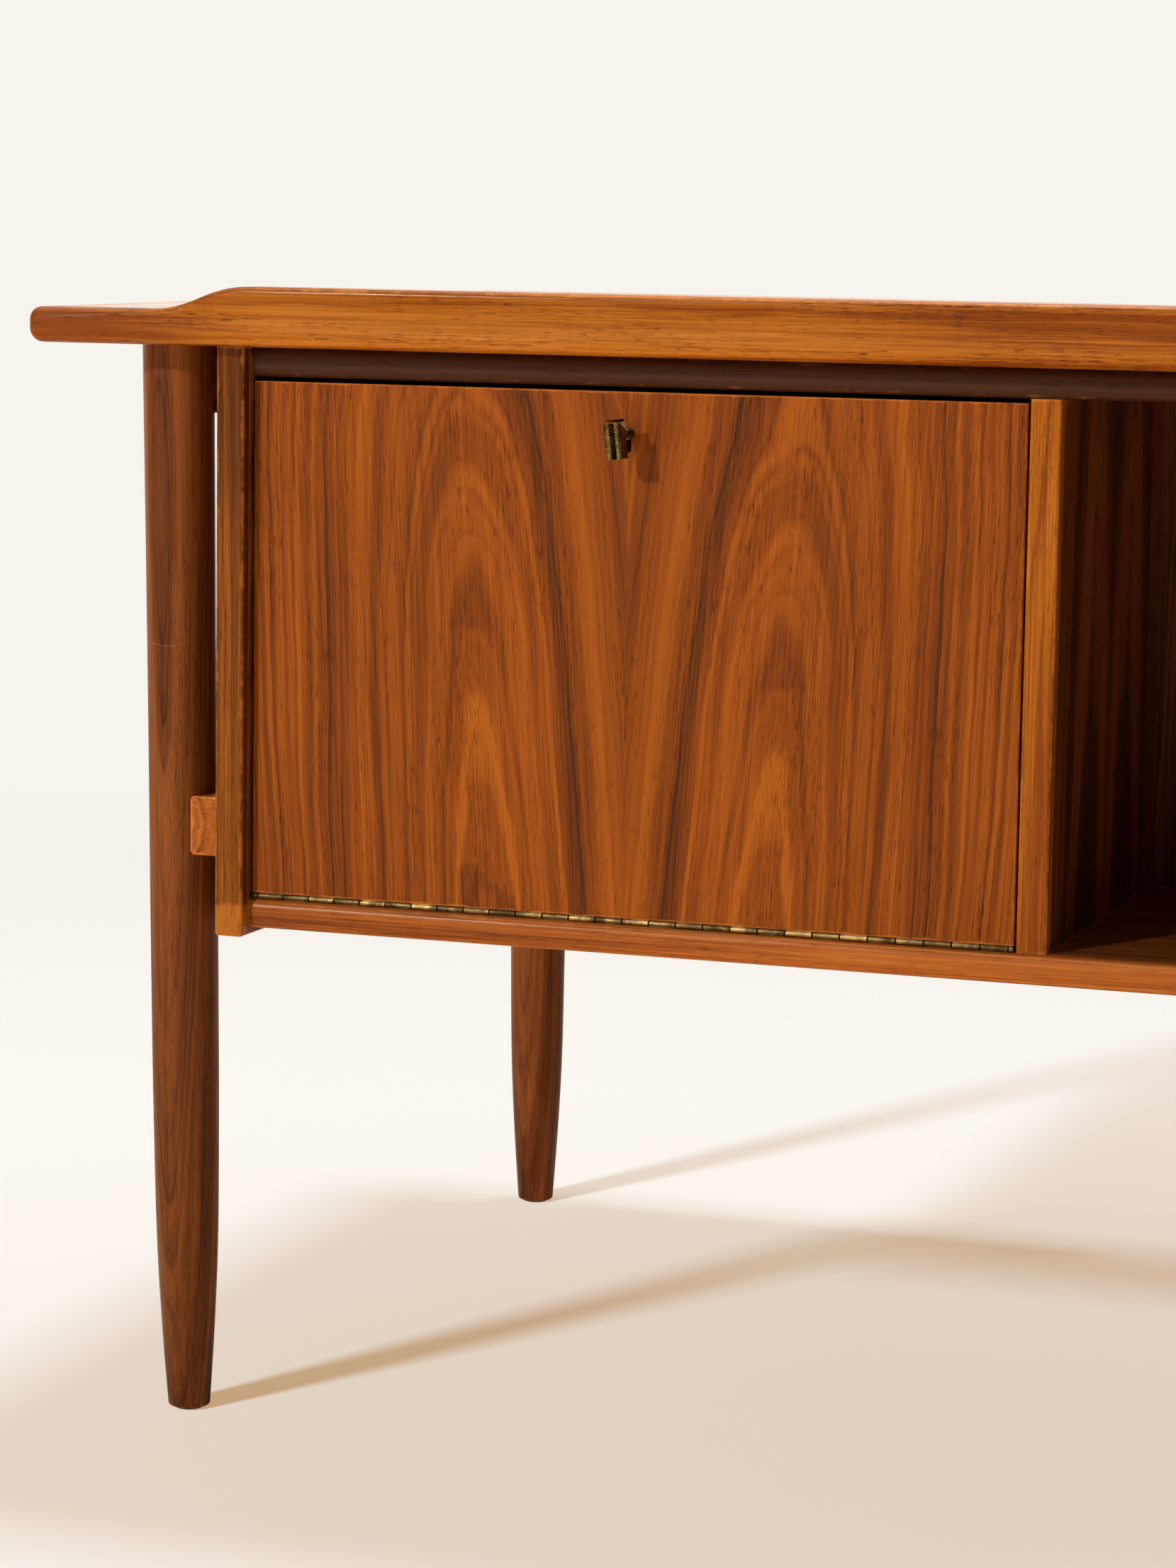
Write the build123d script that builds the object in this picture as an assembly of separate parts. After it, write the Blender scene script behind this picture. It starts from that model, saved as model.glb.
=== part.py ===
from build123d import *
import os
from math import atan2, cos, degrees, hypot, radians, sin, sqrt

# Free-standing writing desk. The visitor's side faces -Y and carries a bookcase with a
# lockable drop-front cabinet; the sitter's side faces +Y and has two pedestals of drawers
# with a kneehole between them. +Z is up, and the origin is on the floor under the middle.
# Millimetres throughout.

# ---- Driving dimensions: the whole desk ----
top_length = 1650.0
top_depth = 800.0
underside_height = 700.0          # floor to the underside of the top
top_thickness = 22.5
board_thickness = 19.0            # every carcass board

# ---- Top and its solid edging ----
edging_width = 24.0
lip_rise = 15.0                   # the raised lip on the visitor's side
lip_start = 83.0                  # from the end of the top to where the lip begins to rise
lip_sweep = 69.0                  # length of the S-shaped rise
edging_top_round = 4.0
edging_bottom_round = 9.0
edging_corner_round = 6.0

# ---- Legs, glides and the rails between them ----
leg_inset_x = 82.4                # end of the top to the foot's axis
leg_inset_y = 70.2                # long side of the top to the foot's axis
leg_splay_x = 0.46                # degrees that a leg's top leans out, along the desk
leg_splay_y = 0.71                # and across it
leg_radii = ((13.5, 0.0), (16.7, 45.0), (19.6, 100.0), (21.3, 190.0),
             (21.9, 300.0), (22.0, 450.0), (22.9, 700.0))
leg_foot_round = 2.0
glide_radius = 9.0
glide_thickness = 1.5
rail_housing = 10.9               # how far a rail stops short of the foot's axis, inside the leg
lower_rail_bottom = 372.5
lower_rail_height = 38.0
lower_rail_overhang = 24.0        # past the foot's axis
upper_rail_height = 44.5
rail_round = 3.0

# ---- Carcass ----
side_inset = 122.0                # end of the top to the outer face of a side panel
panel_inset = 20.0                # long side of the top to the front edge of a side panel
panel_drop = 4.7                  # a side panel reaches this far below the bottom boards
panel_round = 2.0
lipping_depth = 8.0
carcass_bottom = 330.2            # floor to the underside of the bottom boards
board_setback = 9.0               # board edges behind the side panels' edges
board_nose_round = 6.0
door_setback = 13.0               # door and partition behind the side panels' edges
door_bay_width = 501.6
bookcase_depth = 290.0            # from the door's face to the bookcase's back
back_thickness = 12.0

# ---- Drop-front door, hinge and stays ----
door_side_gap = 1.3
door_top_gap = 2.8
door_bottom_gap = 3.9
door_round = 1.5
door_opening = 90.0               # degrees
hinge_axis_lead = 0.4             # the pin's axis in front of the door's face
knuckle_radius = 1.65
knuckle_pitch = 17.55
first_knuckle = 3.6
knuckle_gap = 0.3
hinge_pin_radius = 0.8
pin_clearance = 0.05
leaf_thickness = 0.7
leaf_width = 12.0
hinge_end_gap = 1.2               # door's end to the hinge's end
hinge_screw_count = 8

stay_pin_height = 115.0           # above the hinge pin
stay_pin_reach = 7.6              # behind the door's inner face
stay_guide_angle = 28.0           # degrees round the hinge pin, from the stay's pin to its guide
stay_thickness = 2.0
stay_height = 8.0
stay_eye_radius = 6.0
stay_pin_radius = 2.0
stay_stop_length = 5.0
guide_length = 14.0
guide_height = 14.0
guide_stud_radius = 3.0
guide_plate_radius = 11.0
guide_plate_thickness = 1.5
slot_clearance = 0.3

# ---- Lock and key ----
keyhole_drop = 25.5               # door's top edge to the keyhole's centre
keyhole_radius = 2.95
keyhole_slot_width = 3.0
keyhole_slot_drop = 11.2
escutcheon_wall = 0.6
escutcheon_depth = 3.0
lock_width = 40.0
lock_height = 40.0
lock_depth = 12.0
lock_wall = 1.5
selvedge_thickness = 2.0
bolt_width = 14.0
bolt_thickness = 5.0
bolt_throw = 8.0
bolt_clearance = 0.2
talon_width = 3.8
talon_rise = 5.3                  # the talon's foot below the key's axis
key_shaft_radius = 2.5
key_bit_reach = 8.0
key_bit_width = 2.2
key_reach = 30.0                  # door's face to the front of the bow
bow_width = 10.8
bow_height = 24.0
bow_depth = 12.0
bow_drop = 2.5                    # bow's centre below the shaft
bow_tilt = 7.0                    # degrees
strike_length = 26.0
strike_width = 12.0
strike_thickness = 1.0

# ---- Pedestals and drawers ----
drawer_bay_width = 365.0
drawer_rows = 3
drawer_front_gap = 2.5
drawer_front_thickness = 18.0
drawer_front_setback = 4.0        # behind the board edges' noses
drawer_side_clearance = 2.0
drawer_wall = 12.0
drawer_floor = 5.0
drawer_floor_rise = 6.0
drawer_wall_drop = 16.0           # box walls below the front's top edge
drawer_wall_rise = 4.0            # box walls above the front's bottom edge
drawer_back_gap = 12.0
runner_height = 12.0
runner_depth = 6.0                # how far a runner enters the drawer's groove
runner_slack = 0.4
runner_drop = 26.0                # box's top edge to the groove's top
pull_chord = 130.0
pull_sag = 20.0
drawer_front_round = 1.5

# ---- Screws ----
screw_radius = 1.5
screw_head_radius = 2.9
hinge_screw_length = 14.0
rail_screw_radius = 2.2
rail_screw_head_radius = 4.2
rail_screw_bite = 12.0            # into the side panel
rail_screws_per_rail = 3
rail_screw_pitch = 210.0

# ---- Places worked out from those ----
half_length = top_length / 2
half_depth = top_depth / 2
surface_height = underside_height + top_thickness
lip_height = surface_height + lip_rise
panel_outer = half_length - side_inset
panel_inner = panel_outer - board_thickness
panel_edge = half_depth - panel_inset
board_edge = panel_edge - board_setback
bay_front = panel_edge - door_setback
carcass_floor = carcass_bottom + board_thickness
carcass_ceiling = underside_height - board_thickness
back_front = -bay_front + bookcase_depth
back_rear = back_front + back_thickness
partition_left = -panel_inner + door_bay_width
partition_right = partition_left + board_thickness
foot_x = half_length - leg_inset_x
foot_y = half_depth - leg_inset_y
rail_outer = foot_x - rail_housing
hinge_y = -bay_front - hinge_axis_lead
hinge_z = carcass_floor + door_bottom_gap / 2
door_left = -panel_inner + door_side_gap
door_right = partition_left - door_side_gap
door_middle = (door_left + door_right) / 2
door_bottom = carcass_floor + door_bottom_gap
door_top = carcass_ceiling - door_top_gap
door_inner = -bay_front + board_thickness
key_z = door_top - keyhole_drop
pedestal_inner = panel_inner - drawer_bay_width
drawer_face = board_edge - drawer_front_setback
drawer_pitch = (carcass_ceiling - carcass_floor - drawer_front_gap) / drawer_rows


def block(x0, x1, y0, y1, z0, z1):
    """A box between two corners."""
    middle = Pos((x0 + x1) / 2, (y0 + y1) / 2, (z0 + z1) / 2)
    return middle * Box(abs(x1 - x0), abs(y1 - y0), abs(z1 - z0))


def rod_x(x0, x1, y, z, radius):
    """A cylinder along X."""
    return Pos((x0 + x1) / 2, y, z) * Rot(0, 90, 0) * Cylinder(radius, abs(x1 - x0))


def rod_y(y0, y1, x, z, radius):
    """A cylinder along Y."""
    return Pos(x, (y0 + y1) / 2, z) * Rot(90, 0, 0) * Cylinder(radius, abs(y1 - y0))


def rod_z(z0, z1, x, y, radius):
    """A cylinder along Z."""
    return Pos(x, y, (z0 + z1) / 2) * Cylinder(radius, abs(z1 - z0))


def edges_at(shape, axis, **limits):
    """The shape's straight edges along an axis whose middles lie at the given x, y or z."""
    found = shape.edges().filter_by(axis)
    for name, value in limits.items():
        found = found.filter_by(lambda e, n=name, v=value: abs(getattr(e.center(), n) - v) < 0.01)
    return found


def save(name, *solids):
    """Writes one node: a solid, or a group of separate solids."""
    shape = solids[0] if len(solids) == 1 else Compound(children=list(solids))
    export_step(shape, f"parts/{name}.step")


# ---- Top ----
def edged_top():
    """The whole top as one blank: a slab with a lip that sweeps up from it near each end."""
    slab = block(-half_length, half_length, -half_depth, half_depth, underside_height, surface_height)
    rise_start = half_length - lip_start
    rise_end = rise_start - lip_sweep
    ease = lip_sweep * 0.45
    outline = Curve() + [
        Line((-rise_start, underside_height), (rise_start, underside_height)),
        Line((rise_start, underside_height), (rise_start, surface_height)),
        Bezier((rise_start, surface_height), (rise_start - ease, surface_height),
               (rise_end + ease, lip_height), (rise_end, lip_height)),
        Line((rise_end, lip_height), (-rise_end, lip_height)),
        Bezier((-rise_end, lip_height), (-rise_end - ease, lip_height),
               (-rise_start + ease, surface_height), (-rise_start, surface_height)),
        Line((-rise_start, surface_height), (-rise_start, underside_height)),
    ]
    lip = extrude(Plane.XZ * make_face(outline), edging_width)
    lip = Pos(0, edging_width - half_depth, 0) * lip
    blank = slab + lip
    blank = fillet(edges_at(blank, Axis.Z).filter_by(
        lambda e: abs(abs(e.center().X) - half_length) < 0.01), edging_corner_round)
    rim = blank.edges().filter_by(lambda e: on_rim(e))
    blank = fillet(rim.filter_by(lambda e: e.center().Z > surface_height - 0.01), edging_top_round)
    rim = blank.edges().filter_by(lambda e: on_rim(e))
    return fillet(rim.filter_by(lambda e: e.center().Z < underside_height + 0.01), edging_bottom_round)


def on_rim(edge):
    """Whether an edge lies on the top's upright outer faces and isn't upright itself."""
    box = edge.bounding_box()
    level = box.size.Z < lip_rise + 0.1 and box.size.X + box.size.Y > 1.0
    near_end = abs(edge.center().X) > half_length - edging_corner_round
    near_side = abs(edge.center().Y) > half_depth - edging_corner_round
    return level and (near_end or near_side)


def build_top():
    blank = edged_top()
    inside_x = half_length - edging_width
    inside_y = half_depth - edging_width
    high = lip_height + 1
    low = underside_height - 1
    save("top_panel", block(-inside_x, inside_x, -inside_y, inside_y, underside_height, surface_height))
    save("top_edge_visitor", blank & block(-half_length, half_length, -half_depth, -inside_y, low, high))
    save("top_edge_sitter", blank & block(-half_length, half_length, inside_y, half_depth, low, high))
    save("top_edge_left", blank & block(-half_length, -inside_x, -inside_y, inside_y, low, high))
    save("top_edge_right", blank & block(inside_x, half_length, -inside_y, inside_y, low, high))


# ---- Legs and rails ----
def lower_rail(side):
    """Runs from leg to leg beside the panel, let into both legs, with its ends showing."""
    reach = foot_y + lower_rail_overhang
    rail = block(side * rail_outer, side * panel_outer, -reach, reach,
                 lower_rail_bottom, lower_rail_bottom + lower_rail_height)
    return fillet(edges_at(rail, Axis.Y, X=side * rail_outer), rail_round)


def upper_rail(side):
    """Fills the gap between leg and panel under the top."""
    return block(side * rail_outer, side * panel_outer, -foot_y, foot_y,
                 underside_height - upper_rail_height, underside_height)


def turned_leg(side, end, rails):
    """A cigar-shaped leg that leans out a little, cut level at both ends and housed for the rails."""
    top_radius, height = leg_radii[-1]
    spare = 10.0
    outline = Curve() + [
        Line((0, -spare), (leg_radii[0][0], -spare)),
        Line((leg_radii[0][0], -spare), leg_radii[0]),
        Spline(*leg_radii),
        Line((top_radius, height), (top_radius, height + spare)),
        Line((top_radius, height + spare), (0, height + spare)),
        Line((0, height + spare), (0, -spare)),
    ]
    turning = revolve(Plane.XZ * make_face(outline), Axis.Z)
    turning = Rot(-end * leg_splay_y, side * leg_splay_x, 0) * turning
    leg = Pos(side * foot_x, end * foot_y, 0) * turning
    room = 4 * top_radius
    leg = leg & block(side * foot_x - room, side * foot_x + room, end * foot_y - room,
                      end * foot_y + room, glide_thickness, underside_height)
    leg = fillet(leg.edges().group_by(Axis.Z)[0], leg_foot_round)
    for rail in rails:
        leg = leg - rail
    return leg


def rail_screw(side, y, z):
    """A countersunk screw from a rail's outer face into the side panel."""
    head = rail_screw_head_radius - rail_screw_radius
    start = side * rail_outer
    inwards = -side
    tip = side * panel_outer + inwards * rail_screw_bite
    cone = Pos(start + inwards * head / 2, y, z) * Rot(0, -side * 90, 0) * Cone(
        rail_screw_head_radius, rail_screw_radius, head)
    return cone + rod_x(start + inwards * head, tip, y, z, rail_screw_radius)


def rail_screws(side):
    heights = (lower_rail_bottom + lower_rail_height / 2, underside_height - upper_rail_height / 2)
    middle = (rail_screws_per_rail - 1) / 2
    places = [(i - middle) * rail_screw_pitch for i in range(rail_screws_per_rail)]
    return [rail_screw(side, y, z) for z in heights for y in places]


def build_base():
    """Legs, glides, rails and side panels, which are screwed together."""
    screws = []
    glides = []
    for side, name in ((-1, "left"), (1, "right")):
        lower, upper = lower_rail(side), upper_rail(side)
        for end, face in ((-1, "visitor"), (1, "sitter")):
            save(f"leg_{face}_{name}", turned_leg(side, end, (lower, upper)))
            glides.append(rod_z(0, glide_thickness, side * foot_x, end * foot_y, glide_radius))
        panel = side_panel(side)
        own = rail_screws(side)
        for screw in own:
            lower, upper, panel = lower - screw, upper - screw, panel - screw
        screws += own
        save(f"lower_side_rail_{name}", lower)
        save(f"upper_side_rail_{name}", upper)
        save(f"side_panel_{name}", panel)
        save(f"side_lippings_{name}", side_lipping(side, -1), side_lipping(side, 1))
    save("felt_glides", *glides)
    save("rail_screws", *screws)


# ---- Carcass ----
def side_panel(side):
    reach = panel_edge - lipping_depth
    panel = block(side * panel_inner, side * panel_outer, -reach, reach,
                  carcass_bottom - panel_drop, underside_height)
    return fillet(edges_at(panel, Axis.Y, Z=carcass_bottom - panel_drop), panel_round)


def side_lipping(side, end):
    """Solid strip on an upright edge of a side panel, with its three free edges eased."""
    strip = block(side * panel_inner, side * panel_outer, end * (panel_edge - lipping_depth),
                  end * panel_edge, carcass_bottom - panel_drop, underside_height)
    strip = fillet(edges_at(strip, Axis.Z, Y=end * panel_edge), panel_round)
    foot = strip.edges().filter_by(lambda e: abs(e.center().Z - carcass_bottom + panel_drop) < 0.01)
    foot = foot.filter_by(lambda e: abs(e.center().Y - end * (panel_edge - lipping_depth)) > 0.01)
    return fillet(foot, panel_round)


def board_nose(x0, x1, end, z0):
    """Bullnosed solid edge of a level board."""
    nose = block(x0, x1, end * (board_edge - lipping_depth), end * board_edge, z0, z0 + board_thickness)
    return fillet(edges_at(nose, Axis.X, Y=end * board_edge), board_nose_round)


def strike_hole(grow):
    """The pocket over the bolt: as large as the bolt with the given room."""
    wide = bolt_width / 2 + grow
    y = bolt_middle_y()
    thick = bolt_thickness / 2 + grow
    return block(door_middle - wide, door_middle + wide, y - thick, y + thick,
                 carcass_ceiling - 1, door_top + bolt_throw + grow + 1)


def strike_plate():
    """Brass plate let into the ceiling board over the bolt."""
    y = bolt_middle_y()
    plate = block(door_middle - strike_length / 2, door_middle + strike_length / 2,
                  y - strike_width / 2, y + strike_width / 2,
                  carcass_ceiling, carcass_ceiling + strike_thickness)
    return fillet(plate.edges().filter_by(Axis.Z), strike_thickness * 2)


def build_carcass():
    board_reach = board_edge - lipping_depth
    strike = strike_plate()
    ceiling = block(-panel_inner, panel_inner, -board_reach, board_reach,
                    carcass_ceiling, underside_height)
    save("ceiling_board", ceiling - strike - strike_hole(0.5))
    save("strike_plate", strike - strike_hole(0.5))
    save("ceiling_board_noses", board_nose(-panel_inner, panel_inner, -1, carcass_ceiling),
         board_nose(-panel_inner, panel_inner, 1, carcass_ceiling))
    floor = block(-panel_inner, panel_inner, -board_reach, back_rear, carcass_bottom, carcass_floor)
    for screw in hinge_screws(-1):
        floor = floor - screw
    save("bookcase_bottom", floor)
    save("bookcase_bottom_nose", board_nose(-panel_inner, panel_inner, -1, carcass_bottom))
    save("bookcase_back", block(-panel_inner, panel_inner, back_front, back_rear,
                                carcass_floor, carcass_ceiling))
    save("partition", block(partition_left, partition_right, -bay_front + lipping_depth, back_front,
                            carcass_floor, carcass_ceiling))
    lipping = block(partition_left, partition_right, -bay_front, -bay_front + lipping_depth,
                    carcass_floor, carcass_ceiling)
    save("partition_lipping", fillet(edges_at(lipping, Axis.Z, Y=-bay_front), panel_round))
    for side, name in ((-1, "left"), (1, "right")):
        inner = side * pedestal_inner
        outer = side * (pedestal_inner - board_thickness)
        upright = block(inner, outer, back_rear, board_edge, carcass_bottom, carcass_ceiling)
        save(f"pedestal_side_{name}", fillet(edges_at(upright, Axis.Z, Y=board_edge), panel_round))
        base = block(inner, side * panel_inner, back_rear, board_edge, carcass_bottom, carcass_floor)
        save(f"pedestal_bottom_{name}", fillet(edges_at(base, Axis.X, Y=board_edge), board_nose_round))


# ---- Drop-front door ----
def keyhole(y0, y1, grow):
    """The keyhole's round head and round-footed slot, along Y, grown all round."""
    radius = keyhole_radius + grow
    half = keyhole_slot_width / 2 + grow
    shoulder = -sqrt(radius ** 2 - half ** 2)
    foot = keyhole_slot_width / 2 - keyhole_slot_drop
    outline = Curve() + [
        ThreePointArc((-half, shoulder), (0, radius), (half, shoulder)),
        Line((half, shoulder), (half, foot)),
        ThreePointArc((half, foot), (0, foot - half), (-half, foot)),
        Line((-half, foot), (-half, shoulder)),
    ]
    place = Plane(origin=(door_middle, y1, key_z), x_dir=(1, 0, 0), z_dir=(0, -1, 0))
    return extrude(place * make_face(outline), y1 - y0)


def lock_space():
    """The mortise in the door that holds the lock."""
    return block(door_middle - lock_width / 2, door_middle + lock_width / 2,
                 door_inner - lock_depth, door_inner, door_top - lock_height, door_top)


def build_door():
    face = -bay_front
    door = block(door_left, door_right, face, door_inner, door_bottom, door_top)
    door = fillet(edges_at(door, Axis.Z, Y=face), door_round)
    door = door - lock_space()
    door = door - keyhole(face - 1, door_inner - lock_depth + 1, 0)
    door = door - keyhole(face - 1, face + escutcheon_depth, escutcheon_wall)
    for screw in hinge_screws(1):
        door = door - screw
    save("door_panel", door)
    rim = keyhole(face, face + escutcheon_depth, escutcheon_wall)
    save("keyhole_escutcheon", rim - keyhole(face - 1, face + escutcheon_depth + 1, 0))


# ---- Piano hinge ----
hinge_start = door_left + hinge_end_gap
hinge_end = door_right - hinge_end_gap
knuckle_joints = int((hinge_end - hinge_start - first_knuckle) / knuckle_pitch) + 1


def knuckle_spans():
    """The start and end of each knuckle along the hinge."""
    joints = [hinge_start + first_knuckle + i * knuckle_pitch for i in range(knuckle_joints)]
    starts = [hinge_start] + [x + knuckle_gap / 2 for x in joints]
    ends = [x - knuckle_gap / 2 for x in joints] + [hinge_end]
    return list(zip(starts, ends))


def hinge_leaf(turn):
    """One leaf: turn is -1 for the leaf on the board and 1 for the leaf under the door."""
    outside = hinge_z + turn * door_bottom_gap / 2
    inside = outside - turn * leaf_thickness
    clear = hinge_y + knuckle_radius + knuckle_gap
    leaf = block(hinge_start, hinge_end, clear, hinge_y + leaf_width, inside, outside)
    for x0, x1 in knuckle_spans()[(turn + 1) // 2::2]:
        leaf = leaf + block(x0, x1, hinge_y, clear, inside, outside)
        leaf = leaf + rod_x(x0, x1, hinge_y, hinge_z, knuckle_radius)
    leaf = leaf - rod_x(hinge_start - 1, hinge_end + 1, hinge_y, hinge_z, hinge_pin_radius + pin_clearance)
    for screw in hinge_screws(turn):
        leaf = leaf - screw
    return leaf


def hinge_screws(turn):
    """Countersunk screws through a leaf, down into the board or up into the door."""
    pitch = (hinge_end - hinge_start) / hinge_screw_count
    face = hinge_z + turn * (door_bottom_gap / 2 - leaf_thickness)
    head = screw_head_radius - screw_radius
    y = hinge_y + leaf_width / 2 + 1.2
    screws = []
    for i in range(hinge_screw_count):
        x = hinge_start + (i + 0.5) * pitch
        cone = Pos(x, y, face + turn * head / 2) * Rot(90 - 90 * turn, 0, 0) * Cone(
            screw_head_radius, screw_radius, head)
        shank = rod_z(face + turn * head, face + turn * hinge_screw_length, x, y, screw_radius)
        screws.append(cone + shank)
    return screws


def build_hinge():
    save("hinge_leaf_board", hinge_leaf(-1))
    save("hinge_leaf_door", hinge_leaf(1))
    pin = rod_x(hinge_start, hinge_end + 1, hinge_y, hinge_z, hinge_pin_radius)
    cap = Pos(hinge_end + knuckle_gap, hinge_y, hinge_z) * Sphere(knuckle_radius * 0.95)
    dome = cap & block(hinge_end + knuckle_gap, hinge_end + 5, hinge_y - 5, hinge_y + 5,
                       hinge_z - 5, hinge_z + 5)
    save("hinge_pin", pin + dome)
    save("hinge_screws_board", *hinge_screws(-1))
    save("hinge_screws_door", *hinge_screws(1))


# ---- Stays ----
# A stay is a bar pinned to the door that slides through a guide on the cabinet's side. The
# door's pin and the guide's stud lie on one circle round the hinge pin, so while the door
# turns by any angle the bar and its guide turn by half of it and stay in line.
stay_pin_depth = hinge_axis_lead + board_thickness + stay_pin_reach
stay_circle = hypot(stay_pin_height, stay_pin_depth)
stay_pin_angle = degrees(atan2(stay_pin_depth, stay_pin_height))
guide_angle = stay_pin_angle + stay_guide_angle
guide_y = hinge_y + stay_circle * sin(radians(guide_angle))
guide_z = hinge_z + stay_circle * cos(radians(guide_angle))
stay_pin_y = hinge_y + stay_pin_depth
stay_pin_z = hinge_z + stay_pin_height
closed_reach = 2 * stay_circle * sin(radians(stay_guide_angle / 2))
open_reach = 2 * stay_circle * sin(radians((stay_guide_angle + door_opening) / 2))
stay_slope = degrees(atan2(guide_z - stay_pin_z, guide_y - stay_pin_y))
# Distances from the cabinet's side, inwards.
guide_body_start = guide_plate_thickness + 0.5
stud_length = 4.2
slot_start = guide_body_start + stud_length + 0.9
slot_end = slot_start + stay_thickness + 2 * slot_clearance
guide_body_end = slot_end + 1.6
bracket_gap = 0.6
bracket_thickness = 1.5


def stay_frame(wall, side, y, z):
    """A place on the cabinet's side: local X runs along the bar and local Z into the cabinet."""
    along = Vector(0, cos(radians(stay_slope)), sin(radians(stay_slope)))
    return Plane(origin=(wall, y, z), x_dir=along, z_dir=(side, 0, 0))


def local_block(plane, u0, u1, v0, v1, w0, w1):
    """A box in a plane's own coordinates."""
    return plane * Pos((u0 + u1) / 2, (v0 + v1) / 2, (w0 + w1) / 2) * Box(u1 - u0, v1 - v0, w1 - w0)


def local_rod(plane, u, w0, w1, radius):
    """A cylinder square to a plane."""
    return plane * Pos(u, 0, (w0 + w1) / 2) * Cylinder(radius, w1 - w0)


def stay_bar(wall, side):
    place = stay_frame(wall, side, stay_pin_y, stay_pin_z)
    near, far = slot_start + slot_clearance, slot_end - slot_clearance
    stop_start = open_reach + guide_length / 2 + slot_clearance
    half = stay_height / 2
    bar = local_block(place, 0, stop_start + 1, -half, half, near, far)
    bar = bar + local_rod(place, 0, near, far, stay_eye_radius)
    bar = bar + local_block(place, stop_start, stop_start + stay_stop_length, -half - 2, half + 2,
                            near - 1, far + 1)
    return bar - local_rod(place, 0, near - 1, far + 1, stay_pin_radius + pin_clearance)


def stay_guide(wall, side):
    place = stay_frame(wall, side, guide_y, guide_z)
    half = guide_length / 2
    body = local_block(place, -half, half, -guide_height / 2, guide_height / 2,
                       guide_body_start, guide_body_end)
    body = fillet(body.edges().filter_by(Axis.X), 2.0)
    tall = stay_height / 2 + slot_clearance
    body = body - local_block(place, -half - 1, half + 1, -tall, tall, slot_start, slot_end)
    return body - local_rod(place, 0, guide_body_start - 1, guide_body_start + stud_length,
                            guide_stud_radius + pin_clearance)


def guide_stud(wall, side):
    place = stay_frame(wall, side, guide_y, guide_z)
    plate = local_rod(place, 0, 0, guide_plate_thickness, guide_plate_radius)
    return plate + local_rod(place, 0, 0, guide_body_start + stud_length - slot_clearance,
                             guide_stud_radius)


def door_bracket(wall, side):
    """An angle on the door's inner face with the stay's pin in its ear."""
    ear_end = slot_start + slot_clearance - bracket_gap
    ear_start = ear_end - bracket_thickness
    half = 9.0
    x0, x1 = wall + side * ear_start, wall + side * ear_end
    ear = block(x0, x1, door_inner, stay_pin_y + 6, stay_pin_z - half, stay_pin_z + half)
    ear = fillet(edges_at(ear, Axis.X, Y=stay_pin_y + 6), 5.0)
    foot = block(x0, wall + side * (ear_end + 18), door_inner, door_inner + bracket_thickness,
                 stay_pin_z - half, stay_pin_z + half)
    place = stay_frame(wall, side, stay_pin_y, stay_pin_z)
    pin = local_rod(place, 0, ear_end - 0.5, slot_end + 0.5, stay_pin_radius)
    head = local_rod(place, 0, slot_end + 0.2, slot_end + 1.2, stay_pin_radius + 1.4)
    return ear + foot + pin + head


def build_stays():
    sides = ((-panel_inner, 1, "left"), (partition_left, -1, "right"))
    for wall, side, name in sides:
        save(f"stay_bar_{name}", stay_bar(wall, side))
        save(f"stay_guide_{name}", stay_guide(wall, side))
    save("stay_guide_studs", *[guide_stud(wall, side) for wall, side, _ in sides])
    save("stay_door_brackets", *[door_bracket(wall, side) for wall, side, _ in sides])


# ---- Lock and key ----
def bolt_middle_y():
    return door_inner - lock_depth / 2


def lock_case():
    """Hollow case let into the door's inner face, open for the bolt and for the key."""
    y0, y1 = door_inner - lock_depth, door_inner
    half = lock_width / 2 - lock_wall
    hollow = block(door_middle - half, door_middle + half, y0 + lock_wall, y1 - lock_wall,
                   door_top - lock_height + lock_wall, door_top - selvedge_thickness)
    case = lock_space() - hollow - keyhole(y0 - 1, y0 + lock_wall + 1, 0)
    wide = bolt_width / 2 + bolt_clearance
    thick = bolt_thickness / 2 + bolt_clearance
    y = bolt_middle_y()
    return case - block(door_middle - wide, door_middle + wide, y - thick, y + thick,
                        door_top - selvedge_thickness - 1, door_top + 1)


def lock_bolt():
    """Bolt head, flush with the selvedge, and a talon that the key's bit lifts."""
    y0 = bolt_middle_y() - bolt_thickness / 2
    y1 = y0 + bolt_thickness
    half = bolt_width / 2
    head_bottom = key_z + key_bit_reach + 3.0
    head = block(door_middle - half, door_middle + half, y0, y1, head_bottom, door_top - bolt_clearance)
    return head + block(door_middle + half - talon_width, door_middle + half, y0, y1,
                        key_z - talon_rise, head_bottom)


def key():
    """Shaft, bit and a grooved bow whose top is cut aslant."""
    front = -bay_front - key_reach
    rear = door_inner - lock_wall - 0.6
    shaft = rod_y(front + bow_depth / 2, rear, door_middle, key_z, key_shaft_radius)
    y = bolt_middle_y()
    half = key_bit_width / 2
    bit = block(door_middle - half, door_middle + half, y - bolt_thickness / 2, y + bolt_thickness / 2,
                key_z - key_bit_reach, key_z)
    collar = rod_y(-bay_front - 4.0, -bay_front - 2.0, door_middle, key_z, key_shaft_radius + 1.2)
    return shaft + bit + collar + key_bow(front)


def key_bow(front):
    wide, tall = bow_width / 2, bow_height / 2
    bow = block(-wide, wide, front, front + bow_depth, -tall, tall)
    bow = fillet(bow.edges().filter_by(Axis.Z), 2.2)
    groove = Pos(0, front, 0) * Rot(0, 0, 45) * Box(2.4, 2.4, bow_height + 2)
    slant = Pos(0, front, tall + 1.2) * Rot(-24, 0, 0) * Box(bow_width + 2, bow_depth * 2, 5)
    bow = bow - groove - slant
    return Pos(door_middle, 0, key_z - bow_drop) * Rot(0, -bow_tilt, 0) * bow


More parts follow.
